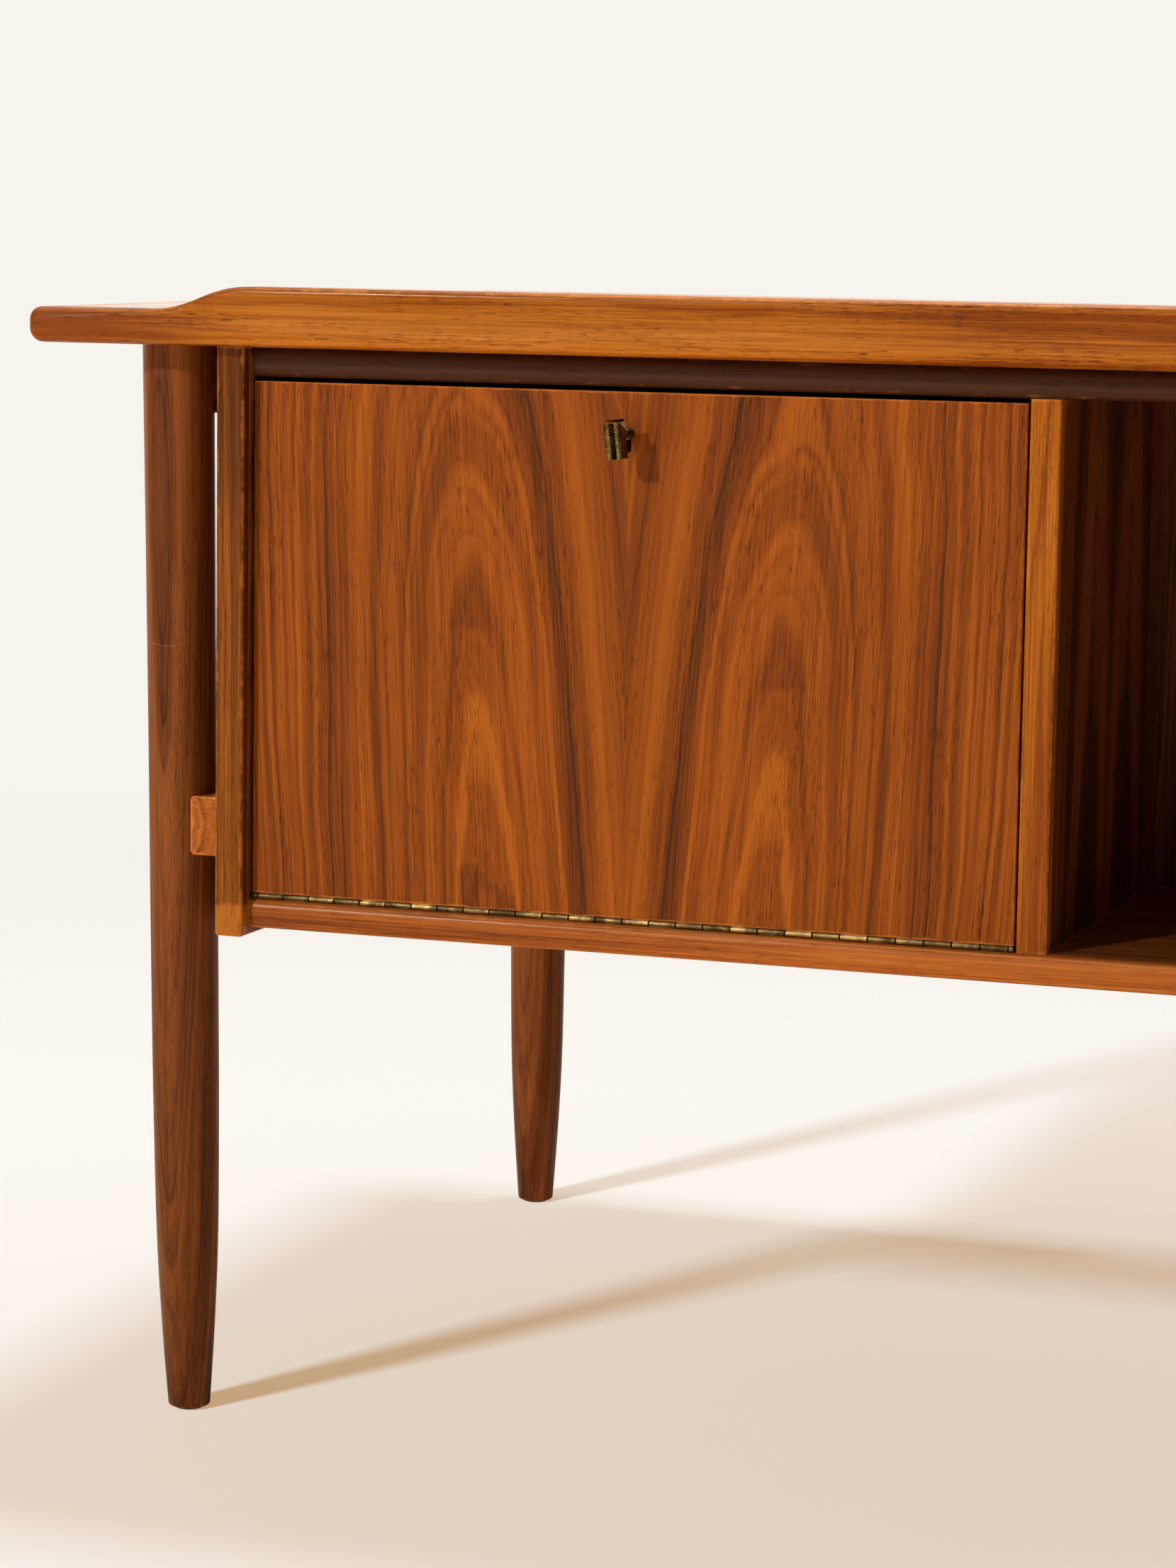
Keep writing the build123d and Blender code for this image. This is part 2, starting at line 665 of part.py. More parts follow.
def build_lock():
    save("lock_case", lock_case())
    save("lock_bolt", lock_bolt())
    save("key", key())


# ---- Drawers ----
def drawer_span(side):
    """The bay between a side panel and its pedestal side, low X first."""
    return sorted((side * panel_inner, side * pedestal_inner))


def drawer_levels(row):
    """Bottom and top of a drawer's front; row 0 is the lowest."""
    bottom = carcass_floor + drawer_front_gap + row * drawer_pitch
    return bottom, bottom + drawer_pitch - drawer_front_gap


def drawer_front(side, row):
    """Front with a shallow arc cut out of its top edge as a pull."""
    x0, x1 = drawer_span(side)
    bottom, top = drawer_levels(row)
    front = block(x0 + drawer_side_clearance, x1 - drawer_side_clearance,
                  drawer_face - drawer_front_thickness, drawer_face, bottom, top)
    front = fillet(edges_at(front, Axis.X, Y=drawer_face), drawer_front_round)
    radius = (pull_chord ** 2 / 4 + pull_sag ** 2) / (2 * pull_sag)
    return front - rod_y(drawer_face - drawer_front_thickness - 1, drawer_face + 1,
                         (x0 + x1) / 2, top + radius - pull_sag, radius)


def groove_levels(row):
    """Bottom and top of the groove in a drawer's side."""
    top = drawer_levels(row)[1] - drawer_wall_drop - runner_drop
    return top - runner_height - 2 * runner_slack, top


def drawer_box(side, row):
    """Two grooved sides, a back and a floor, as separate pieces."""
    x0, x1 = drawer_span(side)
    x0, x1 = x0 + drawer_side_clearance, x1 - drawer_side_clearance
    y0, y1 = back_rear + drawer_back_gap, drawer_face - drawer_front_thickness
    bottom, top = drawer_levels(row)
    z0, z1 = bottom + drawer_wall_rise, top - drawer_wall_drop
    low, high = groove_levels(row)
    walls = []
    for outer, inner in ((x0, x0 + drawer_wall), (x1, x1 - drawer_wall)):
        wall = block(outer, inner, y0, y1, z0, z1)
        deep = runner_depth + runner_slack
        cut = outer + deep if inner > outer else outer - deep
        walls.append(wall - block(outer, cut, y0 - 1, y1 + 1, low, high))
    back = block(x0 + drawer_wall, x1 - drawer_wall, y0, y0 + drawer_wall, z0, z1)
    floor = block(x0 + drawer_wall, x1 - drawer_wall, y0 + drawer_wall, y1,
                  z0 + drawer_floor_rise, z0 + drawer_floor_rise + drawer_floor)
    return [*walls, back, floor]


def runners(side, row):
    """The two hardwood strips that a drawer hangs on."""
    low, high = groove_levels(row)
    y0, y1 = back_rear, drawer_face - drawer_front_thickness - 10
    reach = drawer_side_clearance + runner_depth
    x0, x1 = drawer_span(side)
    return [block(x0, x0 + reach, y0, y1, low + runner_slack, high - runner_slack),
            block(x1 - reach, x1, y0, y1, low + runner_slack, high - runner_slack)]


def build_drawers():
    strips = []
    for side, name in ((-1, "left"), (1, "right")):
        for row in range(drawer_rows):
            level = ("bottom", "middle", "top")[row] if drawer_rows == 3 else f"row{row + 1}"
            save(f"drawer_front_{name}_{level}", drawer_front(side, row))
            save(f"drawer_box_{name}_{level}", *drawer_box(side, row))
            strips += runners(side, row)
    save("drawer_runners", *strips)


def main():
    os.makedirs("parts", exist_ok=True)
    build_top()
    build_base()
    build_carcass()
    build_door()
    build_hinge()
    build_stays()
    build_lock()
    build_drawers()


main()
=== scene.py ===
"""Finishes, fine surfaces and a plain studio for a writing desk, laid out as an add-on."""

from math import radians, tan

import bmesh
import bpy
import numpy as np
from bpy.props import FloatProperty, FloatVectorProperty, PointerProperty
from mathutils import Matrix, Vector


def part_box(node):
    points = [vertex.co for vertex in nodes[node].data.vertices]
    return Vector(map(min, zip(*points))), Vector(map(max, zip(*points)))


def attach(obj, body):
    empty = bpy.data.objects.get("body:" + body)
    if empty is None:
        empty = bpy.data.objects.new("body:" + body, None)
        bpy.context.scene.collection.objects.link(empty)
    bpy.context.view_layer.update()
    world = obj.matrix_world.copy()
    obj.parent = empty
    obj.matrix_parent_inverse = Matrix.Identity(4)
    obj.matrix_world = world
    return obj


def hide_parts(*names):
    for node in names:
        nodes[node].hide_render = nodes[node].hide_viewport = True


bl_info = {
    "name": "Writing desk",
    "version": (1, 0, 0),
    "blender": (4, 5, 0),
    "location": "3D View > Sidebar > Desk",
    "description": "Walnut, brass and felt finishes and turned surfaces for a writing desk",
    "category": "Object",
}

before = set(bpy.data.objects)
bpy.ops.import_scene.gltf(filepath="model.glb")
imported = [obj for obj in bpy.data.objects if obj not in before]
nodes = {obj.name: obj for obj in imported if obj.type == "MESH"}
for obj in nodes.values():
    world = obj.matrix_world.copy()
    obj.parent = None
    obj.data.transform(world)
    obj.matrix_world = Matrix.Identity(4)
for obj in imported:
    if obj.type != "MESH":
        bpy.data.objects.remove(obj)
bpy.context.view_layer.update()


def tint(red, green, blue):
    """Linear colour from a display colour in 0 to 255, by the usual display curve."""
    shown = np.array((red, green, blue)) / 255
    return tuple(float(v) for v in np.where(shown > 0.04045, ((shown + 0.055) / 1.055) ** 2.4, shown / 12.92))


def colour_setting(name, description, red, green, blue):
    """A colour that a user can change; its default is a display colour."""
    return FloatVectorProperty(name=name, description=description, subtype="COLOR", size=3,
                               min=0.0, max=1.0, default=tint(red, green, blue))


def length_setting(name, description, metres):
    """A length that a user can change."""
    return FloatProperty(name=name, description=description, default=metres, unit="LENGTH", precision=4)


def angle_setting(name, description, degrees):
    """An angle that a user can change."""
    return FloatProperty(name=name, description=description, default=radians(degrees), subtype="ANGLE")


def amount_setting(name, description, amount):
    """A plain number that a user can change."""
    return FloatProperty(name=name, description=description, default=amount)


# ---- Settings ----

def wood_settings(kind, label, *shades):
    """Three colours of one wood: its dark bands, its ground and its light bands."""
    tones = ("dark", "dark bands"), ("middle", "ground"), ("light", "light bands")
    return {f"{kind}_{tone}": colour_setting(f"{label}, {part}", f"{label}: colour of the {part}", *shade)
            for (tone, part), shade in zip(tones, shades)}


class DeskFinish(bpy.types.PropertyGroup):
    """Colours of the desk's woods and metals."""
    __annotations__ = {
        **wood_settings("door", "Door veneer", (80, 37, 4), (143, 72, 7), (180, 101, 22)),
        **wood_settings("leg", "Legs", (70, 28, 8), (114, 63, 26), (149, 86, 40)),
        **wood_settings("edging", "Solid edging", (136, 67, 6), (183, 110, 22), (206, 131, 50)),
        **wood_settings("lipping", "Lippings", (88, 42, 4), (136, 76, 9), (184, 112, 34)),
        **wood_settings("board", "Boards and rails", (64, 33, 14), (128, 70, 28), (164, 98, 42)),
        **wood_settings("nose", "Bottom nose", (120, 58, 14), (184, 104, 38), (214, 138, 66)),
        **wood_settings("inside", "Drawer wood", (158, 120, 76), (196, 160, 112), (218, 188, 144)),
        "brass_bright": colour_setting("Brass, rubbed", "Brass that hands and movement polish", 178, 150, 100),
        "brass_aged": colour_setting("Brass, aged", "Brass under its patina", 66, 52, 32),
        "steel": colour_setting("Steel", "Plated steel of the lock", 168, 166, 160),
        "felt": colour_setting("Felt", "Felt under the feet", 58, 52, 46),
    }


class DeskShape(bpy.types.PropertyGroup):
    """Sizes of the surfaces that are worked out here."""
    edging_width: length_setting("Edging width", "Width of the solid edging round the top", 0.024)
    lip_start: length_setting("Lip start", "From the top's end to where the lip begins to rise", 0.083)
    lip_sweep: length_setting("Lip sweep", "Length of the lip's S-shaped rise", 0.069)
    top_round: length_setting("Upper round", "Radius of the edging's upper outer edge", 0.004)
    end_round: length_setting("Extra end round", "How much rounder the upper edge is at the top's ends", 0.004)
    bottom_round: length_setting("Lower round", "Radius of the edging's lower outer edge", 0.009)
    corner_round: length_setting("Corner round", "Radius of the top's corners in plan", 0.006)
    lip_inner_round: length_setting("Lip inner round", "Eased inner edge of the raised lip", 0.0018)
    leg_inset_x: length_setting("Leg inset, end", "From the top's end to a foot's axis", 0.0824)
    leg_inset_y: length_setting("Leg inset, side", "From the top's long side to a foot's axis", 0.0702)
    foot_round: length_setting("Foot round", "Radius at the foot's rim", 0.002)
    slip: length_setting("Veneer slip", "How far the door's right leaf sits below its left one", 0.028)


class DeskStudio(bpy.types.PropertyGroup):
    """Camera and light."""
    camera_place: FloatVectorProperty(name="Camera", description="Where the camera stands", size=3,
                                      subtype="XYZ", unit="LENGTH", default=(0.4409, -2.8986, 0.7887))
    camera_yaw: angle_setting("Turn", "Camera turned left from looking along Y", 19.512)
    camera_pitch: angle_setting("Tip", "Camera tipped down", 7.488)
    camera_roll: angle_setting("Roll", "Camera rolled about its view", 0.845)
    lens: amount_setting("Lens", "Focal length in millimetres", 100.53)
    key_power: amount_setting("Key lamp", "Watts of the small lamp in front on the left", 430.0)
    paper_power: amount_setting("Paper lamp", "Watts of the front lamp that lights only the floor", 3200.0)
    soft_power: amount_setting("Soft lamp", "Watts of the large lamp up on the left", 6.0)
    top_power: amount_setting("Top lamp", "Watts of the lamp overhead", 150.0)
    paper_top_power: amount_setting("Paper top lamp", "Watts of the overhead lamp for the floor alone", 155.0)
    sky: amount_setting("Room light", "Strength of the even light all round", 0.035)
    wall: amount_setting("Wall", "Strength of the wall that reflections see", 1.0)
    strip: amount_setting("Strip", "Strength of the strip above the desk that reflections see", 6.0)
    floor: colour_setting("Floor", "Colour of the floor and backdrop", 98, 118, 133)
    bounce: colour_setting("Floor, as it lights", "Colour with which the floor lights the desk", 160, 148, 130)
    near_glow: colour_setting("Glow, near", "Light of its own that the paper has near the desk", 193, 158, 119)
    far_glow: colour_setting("Glow, far", "Light of its own that the backdrop has", 247, 244, 238)


def shade_of(setting, factor=1.0):
    """A colour of the finish settings, darkened by a factor."""
    return tuple(v * factor for v in getattr(bpy.context.scene.desk_finish, setting))


def finish_of(kind):
    """The dark, middle and light tones of one wood."""
    return [shade_of(f"{kind}_{tone}") for tone in ("dark", "middle", "light")]


def spans(name):
    """A CAD node's lowest and highest corners as arrays."""
    low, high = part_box(name)
    return np.array(low), np.array(high)


# ---- Shader wiring ----
class Wiring:
    """Adds shader nodes to a tree. An input is a number, a tuple or another node's socket."""

    def __init__(self, tree):
        self.tree = tree

    def feed(self, node, inputs):
        """Links or sets each of a node's named inputs."""
        for key, value in inputs.items():
            if isinstance(value, bpy.types.NodeSocket):
                self.tree.links.new(value, node.inputs[key])
            else:
                node.inputs[key].default_value = value

    def add(self, kind, inputs=None, **settings):
        """A new node, with its settings made before its inputs."""
        made = self.tree.nodes.new("ShaderNode" + kind)
        for key, value in settings.items():
            setattr(made, key, value)
        self.feed(made, inputs or {})
        return made

    def math(self, operation, a, b=0.0, c=0.0):
        return self.add("Math", {0: a, 1: b, 2: c}, operation=operation).outputs[0]

    def plus(self, a, b):
        return self.math("ADD", a, b)

    def minus(self, a, b):
        return self.math("SUBTRACT", a, b)

    def times(self, a, b):
        return self.math("MULTIPLY", a, b)

    def total(self, start, *terms):
        """Start plus each value times its weight."""
        for value, weight in terms:
            start = self.math("MULTIPLY_ADD", value, weight, start)
        return start

    def split(self, vector):
        return self.add("SeparateXYZ", {0: vector}).outputs

    def join(self, x, y, z):
        return self.add("CombineXYZ", {0: x, 1: y, 2: z}).outputs[0]

    def vector(self, operation, a, b=(0.0, 0.0, 0.0)):
        return self.add("VectorMath", {0: a, 1: b}, operation=operation).outputs[0]

    def scaled(self, vector, factors):
        return self.vector("MULTIPLY", vector, factors)

    def enlarged(self, vector, factor):
        return self.add("VectorMath", {0: vector, "Scale": factor}, operation="SCALE").outputs[0]

    def moved(self, vector, offset):
        return self.vector("ADD", vector, offset)

    def span(self, value, low, high, to_low=0.0, to_high=1.0):
        """Smooth step from one range to another."""
        return self.add("MapRange", {"Value": value, "From Min": low, "From Max": high, "To Min": to_low,
                                     "To Max": to_high}, interpolation_type="SMOOTHSTEP").outputs[0]

    def near(self, value, target, far, close):
        """One where a value is within close of its target, falling to nothing at far from it."""
        return self.span(self.math("ABSOLUTE", self.minus(value, target)), far, close)

    def noise(self, vector, scale=1.0, detail=2.0, roughness=0.5):
        return self.add("TexNoise", {"Vector": vector, "Scale": scale, "Detail": detail,
                                     "Roughness": roughness}).outputs[0]

    def swing(self, vector, scale, detail=2.0, roughness=0.5):
        """Noise about zero."""
        return self.minus(self.noise(vector, scale, detail, roughness), 0.5)

    def line_noise(self, value, scale, detail=2.0, roughness=0.5):
        return self.add("TexNoise", {"W": value, "Scale": scale, "Detail": detail,
                                     "Roughness": roughness}, noise_dimensions="1D").outputs[0]

    def blend(self, factor, a, b, mode="MIX"):
        """Mixes two colours, of which a tuple of three numbers is made opaque."""
        a, b = [(*v, 1.0) if isinstance(v, tuple) and len(v) == 3 else v for v in (a, b)]
        return self.add("Mix", {0: factor, 6: a, 7: b}, data_type="RGBA", blend_type=mode).outputs[2]

    def stained(self, colour, stain):
        return self.blend(1.0, colour, stain, "MULTIPLY")

    def ramp(self, value, stops):
        """A colour ramp through stops of place and colour."""
        made = self.add("ValToRGB", {0: value})
        elements = made.color_ramp.elements
        while len(elements) < len(stops):
            elements.new(0.5)
        for element, (place, colour) in zip(elements, stops):
            element.position = place
            element.color = (*colour, 1.0)
        return made.outputs[0]

    def bump(self, height, strength, distance):
        return self.add("Bump", {"Height": height, "Strength": strength, "Distance": distance}).outputs[0]

    def group(self, build, inputs):
        """The outputs of a shared node group."""
        return self.add("Group", inputs, node_tree=shared(build)).outputs


def shared(build):
    """The node group that a builder makes, built once."""
    name = build.__name__.replace("_", " ")
    return bpy.data.node_groups.get(name) or build(name)


def start_group(name, inputs, outputs):
    """An empty group with named sockets: its wiring, its inputs and a place for its outputs."""
    tree = bpy.data.node_groups.new(name, "ShaderNodeTree")
    for label, default in inputs.items():
        kind = "NodeSocketVector" if isinstance(default, tuple) else "NodeSocketFloat"
        tree.interface.new_socket(name=label, in_out="INPUT", socket_type=kind).default_value = default
    for label in outputs:
        tree.interface.new_socket(name=label, in_out="OUTPUT", socket_type="NodeSocketFloat")
    begin, end = tree.nodes.new("NodeGroupInput"), tree.nodes.new("NodeGroupOutput")

    def put(label, socket):
        tree.links.new(socket, end.inputs[label])

    return tree, Wiring(tree), begin.outputs, put


def log_rings(name):
    """Distance from the log's pith: root of across squared plus pith depth squared, where the
    depth changes along the grain by a slope, plus a slow wobble."""
    tree, w, given, put = start_group(
        name, {"Plank": (0.0, 0.0, 0.0), "Depth": 0.05, "Slope": 0.05, "Wobble": 0.003,
               "Wobble Scale": 12.0, "Seed": 0.0}, ("Distance",))
    along, across, through = w.split(given["Plank"])
    depth = w.total(given["Depth"], (along, given["Slope"]))
    depth = w.plus(depth, through)
    reach = w.math("SQRT", w.plus(w.times(across, across), w.times(depth, depth)))
    place = w.scaled(given["Plank"], (0.45, 1.0, 1.0))
    place = w.moved(w.enlarged(place, given["Wobble Scale"]), w.join(given["Seed"], 0.0, given["Seed"]))
    warp = w.swing(place, 1.0, 3.0, 0.45)
    put("Distance", w.total(reach, (warp, w.times(given["Wobble"], 2.0))))
    return tree


def grain_bands(name):
    """Broad bands: layered one-dimensional noise of the ring distance. Rings: the fraction of the
    distance over the pitch, dark where it nears one, as late wood is."""
    tree, w, given, put = start_group(
        name, {"Distance": 0.0, "Scale": 40.0, "Pitch": 0.004, "Seed": 0.0}, ("Bands", "Rings"))
    place = w.total(given["Distance"], (given["Seed"], 0.37))
    bands = w.line_noise(place, given["Scale"], 5.0, 0.62)
    put("Bands", w.span(bands, 0.3, 0.7))
    swing = w.line_noise(place, 45.0, 1.0)
    phase = w.math("FRACT", w.total(w.math("DIVIDE", place, given["Pitch"]), (swing, 4.0)))
    late = w.times(w.span(phase, 0.5, 0.9), w.span(phase, 0.9, 1.0, 1.0, 0.0))
    put("Rings", w.times(late, w.span(w.line_noise(place, 130.0, 1.0), 0.35, 0.6)))
    return tree


def wood_fibres(name):
    """Streaks and pores: noise stretched along the grain. Pores keep only its high peaks, and
    come in loose clusters."""
    tree, w, given, put = start_group(
        name, {"Plank": (0.0, 0.0, 0.0), "Seed": 0.0}, ("Streaks", "Lines", "Pores", "Slow"))
    place = w.moved(given["Plank"], w.join(given["Seed"], given["Seed"], 0.0))
    streaks = w.noise(w.scaled(place, (11.0, 800.0, 800.0)), 1.0, 4.0, 0.7)
    put("Streaks", w.span(streaks, 0.33, 0.67))
    put("Lines", w.span(w.noise(w.scaled(place, (1.8, 150.0, 150.0)), 1.0, 4.0, 0.68), 0.32, 0.68))
    pores = w.noise(w.scaled(place, (85.0, 1500.0, 1500.0)), 1.0, 1.0, 0.5)
    crowd = w.noise(w.scaled(place, (7.0, 70.0, 70.0)), 1.0, 2.0, 0.6)
    limit = w.span(crowd, 0.3, 0.7, 0.70, 0.56)
    put("Pores", w.span(w.minus(pores, limit), 0.0, 0.05))
    put("Slow", w.span(w.noise(w.scaled(place, (2.5, 9.0, 9.0)), 1.0, 2.0, 0.5), 0.3, 0.7))
    return tree


def eased_edges(name):
    """Wear along a box's edges: the middle one of the three distances to its faces is small
    only near an edge, and noise breaks the line up."""
    tree, w, given, put = start_group(
        name, {"Position": (0.0, 0.0, 0.0), "Centre": (0.0, 0.0, 0.0), "Half Size": (1.0, 1.0, 1.0),
               "Width": 0.002}, ("Wear",))
    offset = w.vector("ABSOLUTE", w.vector("SUBTRACT", given["Position"], given["Centre"]))
    x, y, z = w.split(w.vector("SUBTRACT", given["Half Size"], offset))
    low = w.math("MINIMUM", x, y)
    middle = w.math("MAXIMUM", low, w.math("MINIMUM", w.math("MAXIMUM", x, y), z))
    rough = w.swing(given["Position"], 70.0, 4.0, 0.65)
    edge = w.total(middle, (rough, w.times(given["Width"], 4.0)))
    put("Wear", w.span(edge, given["Width"], w.times(given["Width"], 0.2), 0.0, 1.0))
    return tree


def handling(name):
    """Smudges from hands and cloths: soft noise in two sizes; specks: rare small dots."""
    tree, w, given, put = start_group(name, {"Position": (0.0, 0.0, 0.0), "Scale": 1.0}, ("Smudges", "Specks"))
    place = w.enlarged(given["Position"], given["Scale"])
    broad = w.noise(place, 9.0, 3.0, 0.6)
    fine = w.noise(place, 60.0, 2.0, 0.6)
    put("Smudges", w.span(w.total(broad, (fine, 0.35)), 0.5, 0.85))
    put("Specks", w.span(w.noise(place, 420.0, 1.0, 0.4), 0.74, 0.8))
    return tree


def new_material(name):
    """A material with nothing but its output, a principled shader and object coordinates."""
    material = bpy.data.materials.new(name)
    material.use_nodes = True
    material.node_tree.nodes.clear()
    w = Wiring(material.node_tree)
    shader = w.add("BsdfPrincipled")
    w.add("OutputMaterial", {0: shader.outputs[0]})
    return material, w, shader, w.add("TexCoord").outputs["Object"]


AXES = {"x": Vector((1, 0, 0)), "y": Vector((0, 1, 0)), "z": Vector((0, 0, 1))}


def plank_turn(grain, face):
    """Turn of a plank's own frame, whose X runs along the grain and Z into the face."""
    along, through = AXES[grain], AXES[face]
    return Matrix((along, through.cross(along), through)).transposed().to_euler()


# What a timber finish has unless told otherwise. Pith and depth place the log's middle across and
# behind the face, slope tips it along the grain, and leaf is the width of a mirrored leaf. Bands to
# pores are weights in the tone, which lift shifts. Wear is how wide the rubbed edges are and worn
# how pale, gloss the roughness where clean and where handled, and red the weight of the red drift.
WOOD = dict(pith=0.0, depth=0.05, slope=0.04, wobble=0.003, wobble_scale=12.0, band_scale=60.0, pitch=0.004,
            bands=0.5, rings=0.25, streaks=0.4, lines=0.3, slow=0.2, pores=0.6, leaf=0.0, seed=0.0,
            lift=0.0, wear=0.0016, worn=0.5, gloss=(0.30, 0.46), coat=0.03, coat_rough=0.22, bump=0.25,
            red=0.3, shine=0.14)
LACQUER_IOR = 1.48
RUDDY = (1.06, 0.92, 0.8)            # what the reddish drift multiplies the wood's colour by
PORE_SHADE = (0.42, 0.34, 0.28)      # and what a pore does
RUB_GAIN, RUB_LIFT = 1.35, 0.02      # how much paler than the lightest bands a rubbed edge is
DUST = 0.25                          # weight of the dark specks
MIRRORED_LEAVES = 10                 # leaves of matched veneer before the mirror's own start


def wood(name, kind, grain, face, node, extra=None, plank=None, **changes):
    """A timber finish centred on a node's box. Tone is a weighted sum of bands, rings, streaks
    and slow drift, coloured through three stops; pores darken it and eased edges lighten it."""
    s = {**WOOD, **changes}
    dark, middle, light = finish_of(kind)
    low, high = spans(node)
    centre = (low + high) / 2
    material, w, shader, position = new_material(name)
    if plank is None:
        plank = w.add("Mapping", {"Vector": position, "Location": tuple(centre),
                                  "Rotation": plank_turn(grain, face)},
                      vector_type="TEXTURE").outputs[0]
        x, y, z = w.split(plank)
        if s["leaf"]:
            y = w.math("PINGPONG", w.plus(y, s["leaf"] * MIRRORED_LEAVES), s["leaf"])
        plank = w.join(x, w.minus(y, s["pith"]), z)
    else:
        plank = plank(w, position)
    depth = s["depth"](w, plank) if callable(s["depth"]) else s["depth"]
    rings = w.group(log_rings, {"Plank": plank, "Depth": depth, "Slope": s["slope"], "Wobble": s["wobble"],
                                "Wobble Scale": s["wobble_scale"], "Seed": s["seed"]})
    grainy = w.group(grain_bands, {"Distance": rings["Distance"], "Scale": s["band_scale"],
                                   "Pitch": s["pitch"], "Seed": s["seed"]})
    fibre = w.group(wood_fibres, {"Plank": plank, "Seed": s["seed"]})
    hands = w.group(handling, {"Position": position, "Scale": 1.0})
    half = (s["bands"] + s["streaks"] + s["lines"] + s["slow"]) / 2 - s["rings"] * 0.3
    tone = w.total(0.5 + s["lift"] - half, (grainy["Bands"], s["bands"]), (fibre["Streaks"], s["streaks"]),
                   (fibre["Lines"], s["lines"]), (fibre["Slow"], s["slow"]), (grainy["Rings"], -s["rings"]))
    if extra:
        tone = extra(w, tone, position, plank, rings)
    colour = w.ramp(tone, ((0.0, dark), (0.5, middle), (1.0, light)))
    drift = w.span(w.noise(w.scaled(plank, (1.6, 14.0, 14.0)), 1.0, 3.0, 0.6), 0.35, 0.65)
    colour = w.blend(w.times(drift, s["red"]), colour, w.stained(colour, RUDDY))
    colour = w.blend(w.times(fibre["Pores"], s["pores"]), colour, w.stained(colour, PORE_SHADE))
    wear = w.group(eased_edges, {"Position": position, "Centre": tuple(centre),
                                 "Half Size": tuple((high - low) / 2), "Width": s["wear"]})["Wear"]
    rubbed = tuple(min(1.0, v * RUB_GAIN + RUB_LIFT) for v in light)
    colour = w.blend(w.times(wear, s["worn"]), colour, rubbed)
    colour = w.blend(w.times(hands["Specks"], DUST), colour, dark)
    clean, handled = s["gloss"]
    roughness = w.total(clean, (hands["Smudges"], handled - clean), (fibre["Pores"], 0.12),
                        (fibre["Streaks"], 0.05))
    height = w.total(0.0, (fibre["Streaks"], 0.35), (fibre["Pores"], -1.0), (hands["Smudges"], 0.15))
    w.feed(shader, {"Base Color": colour, "Roughness": roughness, "Normal": w.bump(height, s["bump"], 0.0003),
                    "Coat Weight": s["coat"], "Coat Roughness": s["coat_rough"], "IOR": LACQUER_IOR,
                    "Specular IOR Level": s["shine"]})
    return material


def timber(node, kind, grain, face, **changes):
    """Gives a CAD node a timber finish of its own."""
    dress(wood(f"{node}_finish", kind, grain, face, node, **changes), node)


SPECK_SHADE = (0.35, 0.3, 0.25)      # what dirt specks multiply a metal's colour by
GRIME = (0.006, 0.004, 0.003)        # dirt in a hinge's joints


def metal(name, bright, aged, patina=0.6, roughness=(0.22, 0.5), scale=1.0, joints=None):
    """Aged metal: patina in soft blotches with fine scratches, duller where it is thick, and
    grime at evenly spaced joints along X, given as their first place and their pitch."""
    material, w, shader, position = new_material(name)
    hands = w.group(handling, {"Position": position, "Scale": 4.0 * scale})
    blotch = w.span(w.noise(position, 120.0 * scale, 4.0, 0.65), 0.36, 0.64)
    thick = w.times(w.math("MAXIMUM", blotch, hands["Smudges"]), patina)
    colour = w.blend(thick, bright, aged)
    colour = w.blend(w.times(hands["Specks"], 0.7), colour, w.stained(colour, SPECK_SHADE))
    if joints:
        first, pitch = joints
        turns = w.math("DIVIDE", w.minus(w.split(position)[0], first), pitch)
        joint = w.near(w.math("FRACT", w.plus(turns, 0.5)), 0.5, 0.045, 0.02)
        colour = w.blend(joint, colour, GRIME)
        second = w.math("FRACT", w.times(w.math("FLOOR", turns), 0.5))
        colour = w.blend(second, colour, tuple(v * 0.5 for v in aged))
    scratch = w.noise(w.scaled(position, (300.0, 300.0, 4000.0)), 1.0, 2.0, 0.6)
    smooth, dull = roughness
    w.feed(shader, {"Base Color": colour, "Metallic": 1.0,
                    "Roughness": w.total(smooth, (thick, dull - smooth), (scratch, 0.08)),
                    "Normal": w.bump(w.total(scratch, (blotch, 0.4)), 0.15, 0.0002)})
    return material


def dress(material, *names):
    """Gives CAD nodes a finish through their material slots."""
    for name in names:
        node = nodes[name]
        if not node.material_slots:
            node.data.materials.append(material)
        for slot in node.material_slots:
            slot.material = material


# ---- Surfaces ----

SHARP_ANGLE = 35.0                   # degrees between faces from which an edge is shown sharp
LOWER_STEPS = (0.012, 0.018)         # distances in from the outline past the rounds, where an
UPPER_STEPS = (0.0052, 0.0066, 0.009, 0.013, 0.018)      # edging's lower and upper faces have points
LIP_BEND = 0.45                      # share of the lip's sweep that pulls its S flat at each end
LIP_EASE = 0.4                       # share of the lip's height that its inner edge may round
END_REACH, END_BLEND = 0.06, 0.05    # where the extra round of the top's ends begins and how fast


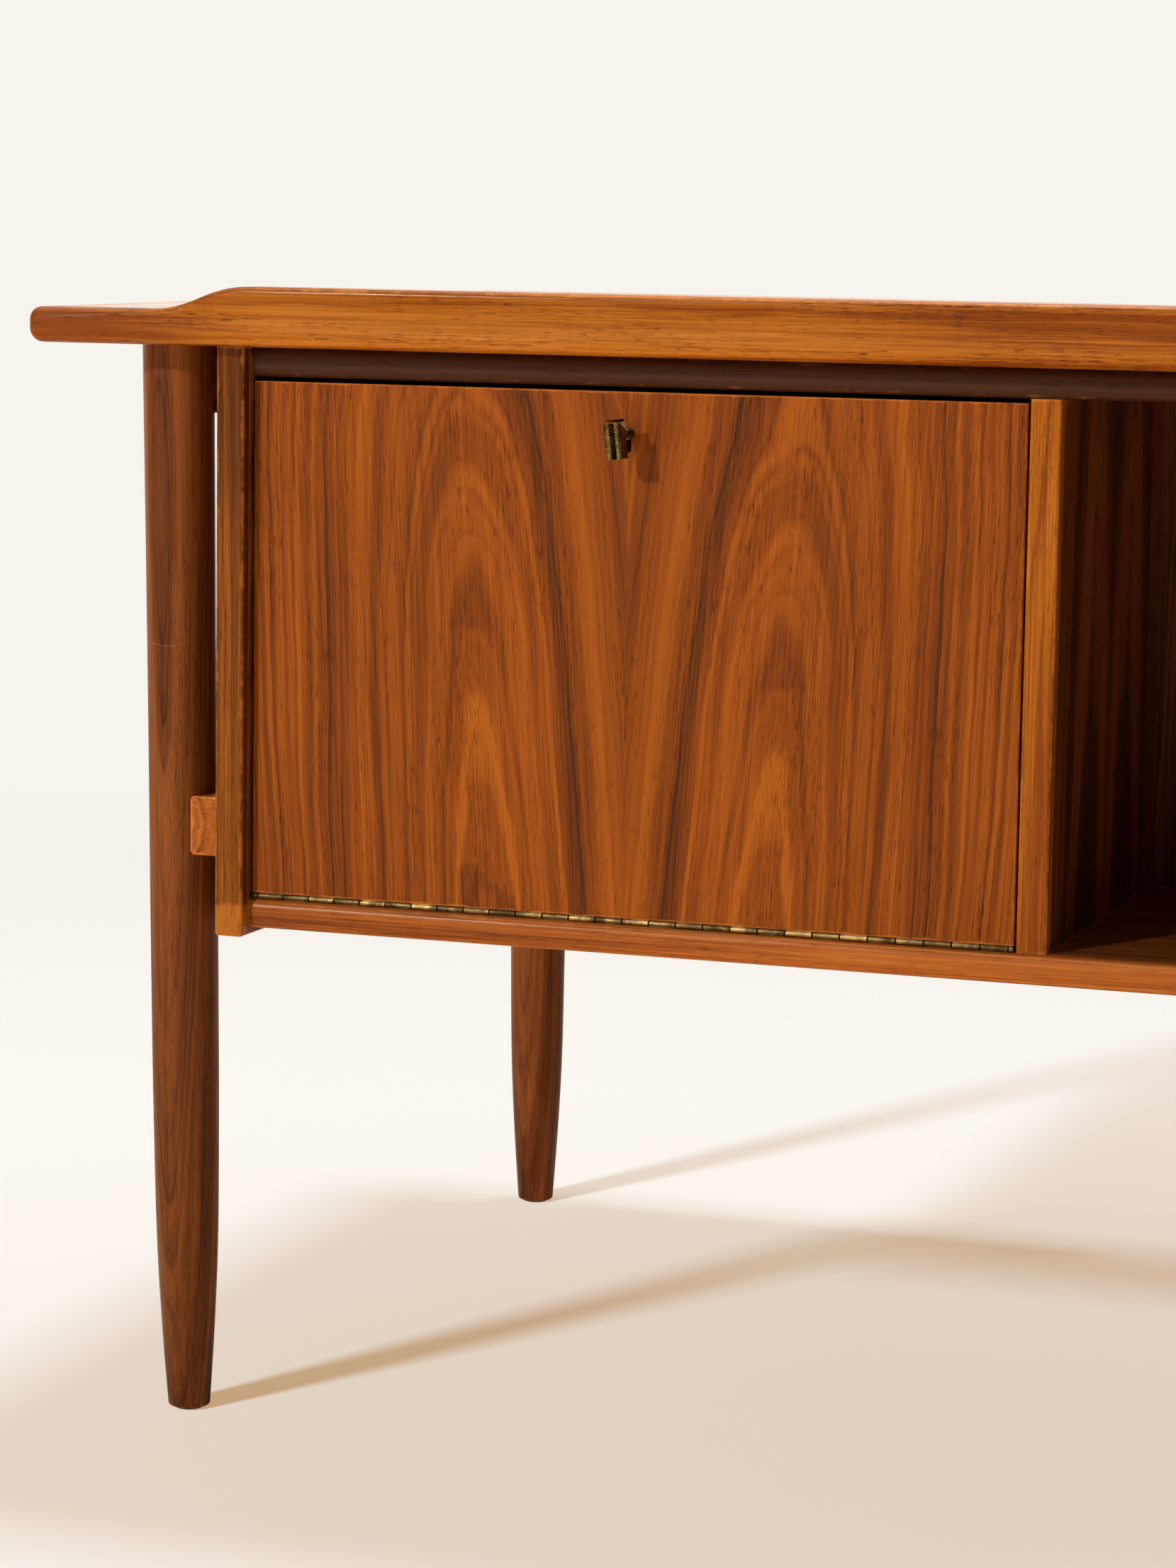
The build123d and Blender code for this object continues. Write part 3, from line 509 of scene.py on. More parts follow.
def solid(name, points, faces, material, slot, replaced):
    """A closed mesh from arrays, which stands for a CAD node of the cabinet. It is turned to face
    outwards by the sign of its volume."""
    mesh = bpy.data.meshes.new(name)
    mesh.from_pydata(points.tolist(), [], [face.tolist() for face in faces])
    work = bmesh.new()
    work.from_mesh(mesh)
    bmesh.ops.remove_doubles(work, verts=work.verts, dist=1e-6)
    bmesh.ops.dissolve_degenerate(work, edges=work.edges, dist=1e-7)
    bmesh.ops.recalc_face_normals(work, faces=work.faces)
    if work.calc_volume(signed=True) < 0:
        bmesh.ops.reverse_faces(work, faces=work.faces)
    work.to_mesh(mesh)
    work.free()
    mesh.polygons.foreach_set("use_smooth", np.ones(len(mesh.polygons), bool))
    mesh.set_sharp_from_angle(angle=radians(SHARP_ANGLE))
    mesh.materials.append(material)
    piece = bpy.data.objects.new(name, mesh)
    bpy.context.scene.collection.objects.link(piece)
    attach(piece, "cabinet")
    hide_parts(replaced)


def ring_faces(rows, columns):
    """Quads of a tube whose rings are stacked rows, and the fans that shut its two ends. The
    fans' middle points follow the rings' own points."""
    index = np.arange(rows * columns).reshape(rows, columns)
    turned = np.roll(index, -1, 1)
    quads = np.stack([index[:-1], turned[:-1], turned[1:], index[1:]], -1).reshape(-1, 4)
    first = np.full(columns, rows * columns)
    fan_low = np.stack([turned[0], index[0], first], -1)
    fan_high = np.stack([index[-1], turned[-1], first + 1], -1)
    return [*quads, *fan_low, *fan_high]


def tube(rings):
    """Points and faces of a closed tube from an array of rings by columns by 3."""
    rows, columns = rings.shape[:2]
    ends = np.stack([rings[0].mean(0), rings[-1].mean(0)])
    return np.concatenate([rings.reshape(-1, 3), ends]), ring_faces(rows, columns)


def joined(*shells):
    """Several closed shells as one set of points and faces."""
    points, faces, count = [], [], 0
    for shell_points, shell_faces in shells:
        points.append(shell_points)
        faces += [face + count for face in shell_faces]
        count += len(shell_points)
    return np.concatenate(points), faces


def round_fall(distance, radius):
    """How far a rounded edge falls below its face at a distance from the side: radius minus the
    root of radius squared minus the rest squared."""
    radius = np.maximum(radius, 1e-9)
    rest = np.clip(radius - distance, 0, radius)
    return radius - np.sqrt(np.maximum(radius ** 2 - rest ** 2, 0))


def hermite(x, knots_x, knots_y):
    """Smooth curve through knots: cubic pieces with slopes from their neighbours."""
    knots_x, knots_y = np.array(knots_x), np.array(knots_y)
    slopes = np.gradient(knots_y, knots_x)
    i = np.clip(np.searchsorted(knots_x, x) - 1, 0, len(knots_x) - 2)
    step = knots_x[i + 1] - knots_x[i]
    t = (x - knots_x[i]) / step
    return ((2 * t ** 3 - 3 * t ** 2 + 1) * knots_y[i] + (t ** 3 - 2 * t ** 2 + t) * step * slopes[i]
            + (3 * t ** 2 - 2 * t ** 3) * knots_y[i + 1] + (t ** 3 - t ** 2) * step * slopes[i + 1])


def lip_profile(x, half_length, low, high):
    """Height of the top's upper face along its length: an S from the flat end to the lip."""
    shape = bpy.context.scene.desk_shape
    t = np.linspace(0, 1, 200)
    blend = 3 * (1 - t) * t ** 2 + t ** 3
    ease = shape.lip_sweep * LIP_BEND
    begin = half_length - shape.lip_start
    way = (begin * (1 - t) ** 3 + 3 * (begin - ease) * (1 - t) ** 2 * t
           + 3 * (begin - shape.lip_sweep + ease) * (1 - t) * t ** 2 + (begin - shape.lip_sweep) * t ** 3)
    return np.interp(np.abs(x), way[::-1], (low + (high - low) * blend)[::-1])


def plan_distance(x, y, half_length, half_depth, corner):
    """Distance inwards from the top's outline, a rectangle with rounded corners."""
    qx, qy = np.abs(x) - (half_length - corner), np.abs(y) - (half_depth - corner)
    outside = np.hypot(np.maximum(qx, 0), np.maximum(qy, 0))
    return corner - outside - np.minimum(np.maximum(qx, qy), 0)


def edging(outer, inner, half_length, half_depth, heights, lipped):
    """An edging strip: rays from stations on the outline to a spine line carry the lower face,
    the side and the upper face. Heights fall towards the outline by the two rounds, and the
    lip's inner edge is eased where it stands above the top."""
    shape = bpy.context.scene.desk_shape
    bottom, surface, lip = heights
    turn = np.linspace(0, np.pi / 2, 9)
    ray = np.linalg.norm(inner - outer, axis=1)[:, None]
    eased = 1 - np.cos(turn)
    lower = np.concatenate([eased * shape.bottom_round, LOWER_STEPS])
    upper = np.concatenate([eased * shape.top_round, UPPER_STEPS])
    inward = shape.edging_width - (1 - np.sin(turn))[:-1] * shape.lip_inner_round
    full = shape.edging_width
    steps = np.concatenate([[full], lower[::-1], upper, inward, [full]]) / full
    is_top = np.arange(len(steps)) >= len(lower) + 1
    plan = outer[:, None] + (inner - outer)[:, None] * steps[None, :, None]
    x, y = plan[..., 0], plan[..., 1]
    reach = plan_distance(x, y, half_length, half_depth, shape.corner_round)
    ceiling = lip_profile(x, half_length, surface, lip) if lipped else np.full_like(x, surface)
    inner_round = np.clip((ceiling - surface) * LIP_EASE, 0, shape.lip_inner_round)
    inside = (1 - steps)[None, :] * ray
    near_end = np.clip((np.abs(x) - half_length + END_REACH) / END_BLEND, 0, 1)
    upper_round = shape.top_round + near_end * shape.end_round
    inner_fall = np.where(inner_round > 1e-6, round_fall(inside, inner_round), 0)
    top = ceiling - round_fall(reach, upper_round) - inner_fall
    z = np.where(is_top[None, :], top, bottom + round_fall(reach, shape.bottom_round))
    return tube(np.stack([x, y, z], -1))


def bar_along_x(x0, x1, y_flat, y_nose, z0, z1, radius):
    """A board's nose: a rectangle whose two edges on the nose side are rounded, carried along X,
    with its ends flat."""
    turn = np.linspace(0, np.pi / 2, 9)
    way = np.sign(y_nose - y_flat)
    y = np.concatenate([[y_flat], y_nose - way * radius * (1 - np.sin(turn)),
                        y_nose - way * radius * (1 - np.cos(turn)), [y_flat]])
    z = np.concatenate([[z0], z0 + radius * (1 - np.cos(turn)), z1 - radius * (1 - np.sin(turn)), [z1]])
    x = np.linspace(x0, x1, 12)
    ring = np.broadcast_to(np.stack([np.zeros_like(y), y, z], -1), (len(x), len(y), 3)).copy()
    ring[..., 0] = x[:, None]
    return tube(ring)


# ---- Operators ----
class DESK_OT_studio(bpy.types.Operator):
    """Camera, floor with its backdrop, and lamps"""
    bl_idname = "desk.studio"
    bl_label = "Studio"

    desk_middle = (-0.35, -0.35, 0.45)       # what the lamps in front are turned to
    front, left = (-4.34, -8.33, 4.64), (-2.3, -1.7, 3.0)    # places of lamps
    overhead, below = (-0.49, 0.735, 4.44), (-0.49, 0.735, 0.0)
    top_warmth = (1.0, 0.84, 0.76)
    flat_reach, rim_reach, rim_height = 8.0, 14.0, 4.5       # of the floor and its rising rim

    def execute(self, context):
        scene = context.scene
        studio = scene.desk_studio
        lens = bpy.data.cameras.new("camera")
        lens.lens, lens.sensor_width = studio.lens, 36.0
        lens.clip_start, lens.clip_end = 0.05, 100.0
        camera = bpy.data.objects.new("camera", lens)
        camera.matrix_world = (Matrix.Translation(studio.camera_place)
                               @ Matrix.Rotation(studio.camera_yaw, 4, "Z")
                               @ Matrix.Rotation(radians(90) - studio.camera_pitch, 4, "X")
                               @ Matrix.Rotation(studio.camera_roll, 4, "Z"))
        scene.collection.objects.link(camera)
        scene.camera = camera
        scene.view_settings.view_transform = "Standard"

        scene.world = self.room(studio)

        self.lamp(scene, "key_lamp", self.front, self.desk_middle, 0.45, studio.key_power, (1.0, 0.92, 0.8))
        self.lamp(scene, "soft_lamp", self.left, self.desk_middle, 1.8, studio.soft_power, (1.0, 0.94, 0.86))
        self.lamp(scene, "top_lamp", self.overhead, self.below, 0.6, studio.top_power, self.top_warmth)
        paper = bpy.data.collections.new("paper")
        paper.objects.link(self.floor(scene, studio))
        for lamp in (
                self.lamp(scene, "paper_lamp", self.front, self.desk_middle, 1.1, studio.paper_power,
                          (1.0, 0.92, 0.84)),
                self.lamp(scene, "paper_top_lamp", self.overhead, self.below, 0.6, studio.paper_top_power,
                          self.top_warmth)):
            lamp.light_linking.receiver_collection = paper
        return {"FINISHED"}

    def room(self, studio):
        """Even light all round; reflections also see a wall behind the desk and a strip above it."""
        world = bpy.data.worlds.new("room")
        world.use_nodes = True
        w = Wiring(world.node_tree)
        _, ahead, up = w.split(w.add("TexCoord").outputs["Generated"])
        wall = w.times(w.span(ahead, 0.0, 0.4), w.span(up, 0.0, 0.2))
        strip = w.times(w.span(ahead, 0.45, 0.30), w.span(up, 0.85, 0.93))
        bright = w.total(0.0, (wall, studio.wall), (strip, studio.strip))
        bright = w.times(bright, w.add("LightPath").outputs["Is Glossy Ray"])
        w.feed(world.node_tree.nodes["Background"], {"Color": (1.0, 0.97, 0.93, 1.0),
                                                     "Strength": w.plus(bright, studio.sky)})
        return world

    def lamp(self, scene, name, place, target, size, power, colour):
        """A square soft lamp that faces a target."""
        data = bpy.data.lights.new(name, "AREA")
        data.size, data.energy, data.color = size, power, colour
        lamp = bpy.data.objects.new(name, data)
        place, target = Vector(place), Vector(target)
        lamp.matrix_world = (Matrix.Translation(place)
                             @ (target - place).to_track_quat("-Z", "Y").to_matrix().to_4x4())
        scene.collection.objects.link(lamp)
        return lamp

    def floor(self, scene, studio):
        """A floor that turns up into a backdrop all round: a disc whose rim rises on an ellipse."""
        turn = np.linspace(0, np.pi / 2, 24)
        outwards = self.flat_reach + (self.rim_reach - self.flat_reach) * np.sin(turn)
        radius = np.concatenate([[0.02, 1.0, 3.0], outwards])
        rise = np.concatenate([[0.0, 0.0, 0.0], self.rim_height * (1 - np.cos(turn))])
        around = np.linspace(0, 2 * np.pi, 96, endpoint=False)
        points = np.stack([radius[:, None] * np.cos(around), radius[:, None] * np.sin(around),
                           np.broadcast_to(rise[:, None], (len(radius), len(around)))], -1)
        rows, columns = points.shape[:2]
        index = np.arange(rows * columns).reshape(rows, columns)
        turned = np.roll(index, -1, 1)
        quads = np.stack([index[:-1], index[1:], turned[1:], turned[:-1]], -1).reshape(-1, 4)
        mesh = bpy.data.meshes.new("floor")
        mesh.from_pydata(points.reshape(-1, 3).tolist(), [], quads.tolist() + [index[0].tolist()])
        mesh.polygons.foreach_set("use_smooth", np.ones(len(mesh.polygons), bool))
        mesh.materials.append(self.paper(studio))
        floor = bpy.data.objects.new("floor", mesh)
        scene.collection.objects.link(floor)
        return floor

    def paper(self, studio):
        """The floor's finish. The camera sees its shade, which fades with the distance from the
        desk, and a glow of its own, which takes over there; other rays see what it bounces, and
        reflections behind the desk see the glow a little brightened."""
        material, w, shader, position = new_material("floor_paper")
        rays = w.add("LightPath")
        seen = rays.outputs["Is Camera Ray"]
        shade, black = tuple(studio.floor), (0.0, 0.0, 0.0)
        patch = w.span(w.noise(position, 1.5, 3.0, 0.5), 0.3, 0.7)
        colour = w.blend(w.times(patch, 0.35), shade, tuple(v * 0.96 for v in shade))
        from_desk = w.moved(position, (0.4, 0.7, 0.0))
        away = w.add("VectorMath", {0: from_desk}, operation="LENGTH").outputs["Value"]
        glow = w.blend(w.span(away, 0.2, 3.8), tuple(studio.near_glow), tuple(studio.far_glow))
        colour = w.blend(w.span(away, 1.0, 3.6), colour, black)
        behind = w.times(w.span(w.split(position)[1], 1.5, 4.0), rays.outputs["Is Glossy Ray"])
        lit = w.math("MAXIMUM", seen, w.times(behind, 1.2))
        w.feed(shader, {"Base Color": w.blend(seen, tuple(studio.bounce), colour), "Roughness": 0.9,
                        "Specular IOR Level": 0.0, "Emission Color": w.blend(lit, black, glow),
                        "Emission Strength": 1.0})
        return material


class DESK_OT_top(bpy.types.Operator):
    """Top panel and its solid edging with the raised lip"""
    bl_idname = "desk.top"
    bl_label = "Top"

    # X where each broad shade of the long edging begins, X where it is full, and its weight
    shades = ((-0.4, -0.62, -0.22), (-0.64, -0.78, -0.46), (-0.34, -0.18, -0.36))

    def execute(self, context):
        shape = context.scene.desk_shape
        timber("top_panel", "board", "x", "z", leaf=0.19, depth=0.03, slope=0.03, pith=0.08, wobble=0.006,
               band_scale=45.0, gloss=(0.16, 0.3), coat=0.6, coat_rough=0.08, seed=2.0)
        low, high = spans("top_edge_visitor")
        panel_low, panel_high = spans("top_panel")
        half_length, half_depth = high[0], -low[1]
        heights = (panel_low[2], panel_high[2], high[2])
        inside_x, inside_y = half_length - shape.edging_width, half_depth - shape.edging_width
        sweep = np.linspace(half_length - shape.lip_start - shape.lip_sweep, half_length - shape.lip_start, 40)
        run = np.unique(np.concatenate([-sweep, sweep, np.linspace(-inside_x, inside_x, 30)]))
        run = run[np.abs(run) <= half_length - shape.corner_round - 1e-6]
        for name, side, lipped in (("visitor", -1, True), ("sitter", 1, False)):
            outer, inner = self.long_side(run, side, half_length, half_depth, inside_x, inside_y)
            points, faces = edging(outer, inner, half_length, half_depth, heights, lipped)
            look = wood(f"edging_{name}", "edging", "x", "y", f"top_edge_{name}", depth=0.11, slope=0.012,
                        pith=0.02, wobble=0.004, wobble_scale=9.0, bands=0.38, streaks=0.5, lines=0.42,
                        pores=0.95, pitch=0.005, wear=0.0022, worn=0.35, gloss=(0.2, 0.34), coat=0.08,
                        coat_rough=0.1, seed=5.0 + side, extra=self.dents)
            solid(f"edging_{name}", points, faces, look, "edging", f"top_edge_{name}")
        y = np.linspace(-inside_y, inside_y, 12)
        for name, side in (("left", -1), ("right", 1)):
            outer, inner = (np.stack([np.full_like(y, side * x), y], -1) for x in (half_length, inside_x))
            points, faces = edging(outer, inner, half_length, half_depth, heights, False)
            look = wood(f"edging_{name}", "edging", "y", "x", f"top_edge_{name}", depth=0.09, slope=0.02,
                        streaks=0.45, wear=0.002, gloss=(0.2, 0.36), coat=0.3, seed=9.0 + side)
            solid(f"edging_{name}", points, faces, look, "edging", f"top_edge_{name}")
        return {"FINISHED"}

    def long_side(self, run, side, half_length, half_depth, inside_x, inside_y):
        """Stations along a long side and round its two corners, with their places on the spine."""
        corner = bpy.context.scene.desk_shape.corner_round
        turn = np.linspace(0, np.pi / 2, 10)
        bend_x = half_length - corner * (1 - np.sin(turn))
        bend_y = half_depth - corner * (1 - np.cos(turn))
        down = np.linspace(half_depth - corner, inside_y, 6)[1:]
        x = np.concatenate([np.full(5, -half_length), -bend_x[::-1], run, bend_x, np.full(5, half_length)])
        y = np.concatenate([down[::-1], bend_y[::-1], np.full(len(run), half_depth), bend_y, down])
        outer = np.stack([x, side * y], -1)
        inner = np.stack([np.clip(x, -inside_x, inside_x), np.full_like(x, side * inside_y)], -1)
        return outer, inner

    def dents(self, w, tone, position, *_):
        """Small dents: sparse cells darken the tone, and broad shifts of tone vary it along X."""
        cells = w.add("TexVoronoi", {"Vector": w.scaled(position, (30.0, 60.0, 60.0)), "Scale": 1.0,
                                     "Randomness": 1.0}).outputs["Distance"]
        along = w.split(position)[0]
        return w.total(tone, (w.span(cells, 0.1, 0.04), -0.25),
                       *((w.span(along, begin, full), weight) for begin, full, weight in self.shades))


class DESK_OT_legs(bpy.types.Operator):
    """Four turned legs and their felt glides"""
    bl_idname = "desk.legs"
    bl_label = "Legs"

    # Radius of a leg at each height, and how its axis leans
    heights = (0.0, 0.045, 0.1, 0.19, 0.3, 0.45, 0.7)
    radii = (0.0135, 0.0167, 0.0196, 0.0213, 0.0219, 0.022, 0.0229)
    lean_x = tan(radians(0.46))
    lean_y = tan(radians(0.71))
    scratch_height, scratch_bend = 0.507, 9.0        # its lowest point, and its rise per metre squared

    def execute(self, context):
        shape = context.scene.desk_shape
        low, high = spans("top_edge_visitor")
        foot_x, foot_y = high[0] - shape.leg_inset_x, -low[1] - shape.leg_inset_y
        for side, name in ((-1, "left"), (1, "right")):
            for end, face in ((-1, "visitor"), (1, "sitter")):
                node = f"leg_{face}_{name}"
                base, head = spans(node)
                points, faces = self.turning(side * foot_x, end * foot_y, side, end, base[2], head[2],
                                             shape.foot_round)
                look = wood(f"leg_finish_{face}_{name}", "leg", "z", "y", node, depth=0.034, slope=-0.045,
                            pith=0.004 * side, wobble=0.004, wobble_scale=14.0, band_scale=70.0, bands=0.6,
                            streaks=0.3, pitch=0.0035, wear=0.0008, worn=0.3, seed=11.0 + 3 * side + end,
                            extra=self.scratch if node == "leg_visitor_left" else None)
                solid(f"turned_{node}", points, faces, look, "leg_wood", node)
        felt, w, shader, position = new_material("felt")
        fuzz = w.noise(position, 2600.0, 4.0, 0.7)
        dye = shade_of("felt")
        w.feed(shader, {"Base Color": w.blend(fuzz, dye, tuple(v * 2.2 for v in dye)), "Roughness": 0.95,
                        "Normal": w.bump(fuzz, 0.6, 0.0004)})
        dress(felt, "felt_glides")
        return {"FINISHED"}

    def turning(self, x, y, side, end, base, head, foot_round):
        """A turned leg: the radius follows its knots up the height, the foot's rim is rounded, and
        the axis leans out, so each ring shifts by its height times the lean."""
        turn = np.linspace(0, np.pi / 2, 8)
        z = np.concatenate([base + foot_round * (1 - np.cos(turn)), np.linspace(base + 0.01, head, 90)])
        radius = hermite(z, self.heights, self.radii)
        radius[:len(turn)] -= foot_round * (1 - np.sin(turn))
        around = np.linspace(0, 2 * np.pi, 96, endpoint=False)
        ring_x = x + side * self.lean_x * z[:, None] + radius[:, None] * np.cos(around)
        ring_y = y + end * self.lean_y * z[:, None] + radius[:, None] * np.sin(around)
        return tube(np.stack([ring_x, ring_y, np.broadcast_to(z[:, None], ring_x.shape)], -1))

    def scratch(self, w, tone, position, *_):
        """A pale curved scratch on the front leg: its height is a parabola across the leg."""
        x, _, z = w.split(position)
        low, high = spans("leg_visitor_left")
        middle = float(low[0] + high[0]) / 2
        across = w.minus(x, middle)
        bow = w.total(self.scratch_height, (w.times(across, across), self.scratch_bend))
        mark = w.near(z, bow, 0.0009, 0.0002)
        return w.total(tone, (w.times(mark, w.near(x, middle, 0.014, 0.009)), 0.35))


class DESK_OT_rails(bpy.types.Operator):
    """Side rails, side panels and their lippings"""
    bl_idname = "desk.rails"
    bl_label = "Rails and side panels"

    def execute(self, context):
        dress(metal("screw_brass", shade_of("brass_bright"), shade_of("brass_aged")), "rail_screws")
        for name, seed in (("left", 1.0), ("right", 4.0)):
            for level, kind in (("lower", "nose"), ("upper", "board")):
                timber(f"{level}_side_rail_{name}", kind, "y", "x", slope=0.02, seed=seed + len(level))
            timber(f"side_panel_{name}", "board", "z", "x", leaf=0.15, pith=0.06, depth=0.03, slope=0.09,
                   wobble=0.005, seed=seed + 20)
            timber(f"side_lippings_{name}", "lipping", "z", "y", depth=0.08, slope=0.015, pith=0.3,
                   band_scale=90.0, streaks=0.45, wear=0.0018, worn=0.4, lift=-0.14, seed=seed + 30,
                   extra=self.pale_foot)
        return {"FINISHED"}

    def pale_foot(self, w, tone, position, *_):
        """A lipping's lowest end is paler and its upper end is darker."""
        low, _ = spans("side_lippings_left")
        height = w.minus(w.split(position)[2], float(low[2]))
        ragged = w.total(height, (w.swing(position, 45.0), 0.012))
        return w.total(tone, (w.span(ragged, 0.024, 0.016), 1.0), (w.span(height, 0.24, 0.31), -0.3))


class DESK_OT_cabinet(bpy.types.Operator):
    """Boards, partition, back and pedestal walls"""
    bl_idname = "desk.cabinet"
    bl_label = "Cabinet"

    nose_depth, nose_round = 0.008, 0.006    # of the ceiling board's noses, and every nose's rounds

    def execute(self, context):
        noses = dict(depth=0.09, slope=0.012, band_scale=70.0, wear=0.002, worn=0.25, gloss=(0.26, 0.42),
                     coat=0.12)
        lying = dict(leaf=0.2, depth=0.03, slope=0.03, pith=0.07)
        upright = dict(depth=0.03, slope=0.08)
        for node, seed in (("ceiling_board", 3.0), ("bookcase_bottom", 6.0)):
            timber(node, "board", "x", "z", wobble=0.005, seed=seed, **lying)
        low, high = spans("ceiling_board_noses")
        # lift=-1.0 is painted shade: the nose under the top's overhang is darkened as if it lay in the top's
        # shadow
        look = wood("ceiling_nose_finish", "board", "x", "y", "ceiling_board_noses", seed=7.5, lift=-1.0,
                    **noses)
        front = bar_along_x(low[0], high[0], low[1] + self.nose_depth, low[1], low[2], high[2],
                            self.nose_round)
        rear = bar_along_x(low[0], high[0], high[1] - self.nose_depth, high[1], low[2], high[2],
                           self.nose_round)
        solid("ceiling_noses", *joined(front, rear), look, "board_nose", "ceiling_board_noses")
        low, high = spans("bookcase_bottom_nose")
        look = wood("bottom_nose_finish", "nose", "x", "y", "bookcase_bottom_nose", seed=8.5, **noses)
        bar = bar_along_x(low[0], high[0], high[1], low[1], low[2], high[2], self.nose_round)
        solid("bottom_nose", *bar, look, "board_nose", "bookcase_bottom_nose")
        # The back's and the partition's lift of -0.3 is painted shade: it darkens them for the shade inside
        # the bookcase
        timber("bookcase_back", "board", "z", "y", leaf=0.17, pith=0.05, wobble=0.005, lift=-0.3, seed=12.0,
               **upright)
        timber("partition", "board", "z", "x", leaf=0.14, pith=0.05, lift=-0.3, seed=13.0, **upright)
        timber("partition_lipping", "edging", "z", "y", depth=0.09, slope=0.015, pith=0.02, band_scale=90.0,
               streaks=0.42, lift=-0.36, wear=0.0014, worn=0.3, seed=14.0)
        for name, seed in (("left", 15.0), ("right", 18.0)):
            # The pedestal side's lift of -0.2 is painted shade: it darkens it for the shade inside the cabinet
            timber(f"pedestal_side_{name}", "board", "z", "x", leaf=0.16, pith=0.06, lift=-0.2, seed=seed,
                   **upright)
            timber(f"pedestal_bottom_{name}", "board", "x", "z", seed=seed + 1, **lying)
        return {"FINISHED"}


class DESK_OT_door(bpy.types.Operator):
    """Drop-front door in two matched leaves of veneer"""
    bl_idname = "desk.door"
    bl_label = "Door"

    arch_offset = 0.108          # seam to the arch's middle at the door's top
    arch_drift = 0.060           # how much nearer the seam it is, per unit of height
    dark_ring = 0.0665           # distance from the pith of the darkest band
    outer_ring = 0.107           # and of the brown bands in the outer thirds
    calm_tone = 0.72             # tone of the even wood between the darkest band and the seam
    steady_depth = 0.040         # depth of the pith behind the face
    crown = 0.016                # how much deeper the pith lies at the door's top
    crown_reach = 0.100          # the height over which that dies away
    stain_top = 0.030            # height above the door's foot that the dark stains reach
    # Distance from the pith and weight of each thin arch, light above nothing and dark below
    arches = ((0.0318, 0.3), (0.0238, 0.2), (0.0385, -0.10), (0.0465, 0.14), (0.0545, -0.14))

    def execute(self, context):
        timber("door_panel", "door", "z", "y", plank=self.leaves, extra=self.figure, depth=self.pith_depth,
               slope=0.050, wobble=0.0042, wobble_scale=24.0, band_scale=95.0, rings=0.2, streaks=0.36,
               lines=0.2, slow=0.24, pores=0.8, pitch=0.0048, wear=0.0012, worn=0.6, gloss=(0.34, 0.46),
               coat=0.0, seed=3.0, shine=0.16)
        return {"FINISHED"}

    def leaves(self, w, position):
        """Two leaves mirrored at the door's middle: height below the top edge runs along the
        grain, and distance from the seam less the arch's offset runs across it."""
        low, high = spans("door_panel")
        x, y, z = w.split(position)
        middle = float(low[0] + high[0]) / 2
        from_seam = w.minus(x, middle)
        right = w.math("GREATER_THAN", from_seam, 0.0)
        height = w.total(w.minus(z, float(high[2])), (right, bpy.context.scene.desk_shape.slip))
        centre = w.total(self.arch_offset, (height, self.arch_drift))
        across = w.minus(w.math("ABSOLUTE", from_seam), centre)
        return w.join(height, across, w.minus(y, float(low[1])))

    def pith_depth(self, w, plank):
        """Depth of the pith behind the face: steady, with a crown that dies away below the top."""
        height = w.math("MINIMUM", w.split(plank)[0], 0.0)
        crown = w.math("EXPONENT", w.math("DIVIDE", height, self.crown_reach))
        return w.total(self.steady_depth, (crown, self.crown))

    def figure(self, w, tone, _, plank, rings):
        """The dark band on the seam's side of the arch, the even wood between it and the seam, the
        wavy arches inside it and the dark stains at its foot."""
        height, across = w.split(plank)[:2]
        distance = rings["Distance"]
        seam_side = w.span(across, 0.012, -0.02)
        band = w.near(distance, self.dark_ring, 0.0095, 0.001)
        tone = w.total(tone, (w.times(band, seam_side), -0.5))
        calm = w.times(w.span(distance, self.dark_ring + 0.008, self.dark_ring + 0.018), seam_side)
        tone = w.total(tone, (w.times(calm, w.minus(self.calm_tone, tone)), 0.32))
        ripple = w.swing(w.scaled(plank, (16.0, 70.0, 70.0)), 1.0)
        wavy = w.total(distance, (w.times(ripple, w.near(across, 0.0, 0.045, 0.01)), 0.0065))
        for ring, weight in self.arches:
            tone = w.total(tone, (w.near(wavy, ring, 0.0016, 0.0003), weight))
        tone = w.total(tone, (w.near(distance, self.outer_ring, 0.009, 0.002), -0.22))
        low, high = spans("door_panel")
        above_foot = w.minus(height, float(low[2] - high[2]))
        ragged = w.total(above_foot, (w.swing(plank, 38.0, 3.0), 0.09))
        stain = w.times(w.span(ragged, self.stain_top, self.stain_top - 0.012),
                        w.near(across, 0.0, 0.032, 0.012))
        return w.total(tone, (stain, -0.22))


class DESK_OT_hinge(bpy.types.Operator):
    """Piano hinge along the door's foot"""
    bl_idname = "desk.hinge"
    bl_label = "Hinge"

    first_knuckle, knuckle_pitch = 0.0036, 0.01755       # from the leaf's end, and from each to the next

    def execute(self, context):
        first_joint = float(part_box("hinge_leaf_door")[0][0]) + self.first_knuckle
        look = metal("hinge_brass", shade_of("brass_bright"), shade_of("brass_aged"), 0.9, (0.26, 0.42), 0.8,
                     joints=(first_joint, self.knuckle_pitch))
        dress(look, "hinge_leaf_board", "hinge_leaf_door", "hinge_pin", "hinge_screws_board",
              "hinge_screws_door")
        return {"FINISHED"}


class DESK_OT_stays(bpy.types.Operator):
    """Sliding stays that hold the door level"""
    bl_idname = "desk.stays"
    bl_label = "Stays"

    def execute(self, context):
        look = metal("stay_brass", shade_of("brass_bright"), shade_of("brass_aged"), 0.5, (0.22, 0.45))
        dress(look, "stay_bar_left", "stay_bar_right", "stay_guide_left", "stay_guide_right",
              "stay_guide_studs", "stay_door_brackets")
        return {"FINISHED"}


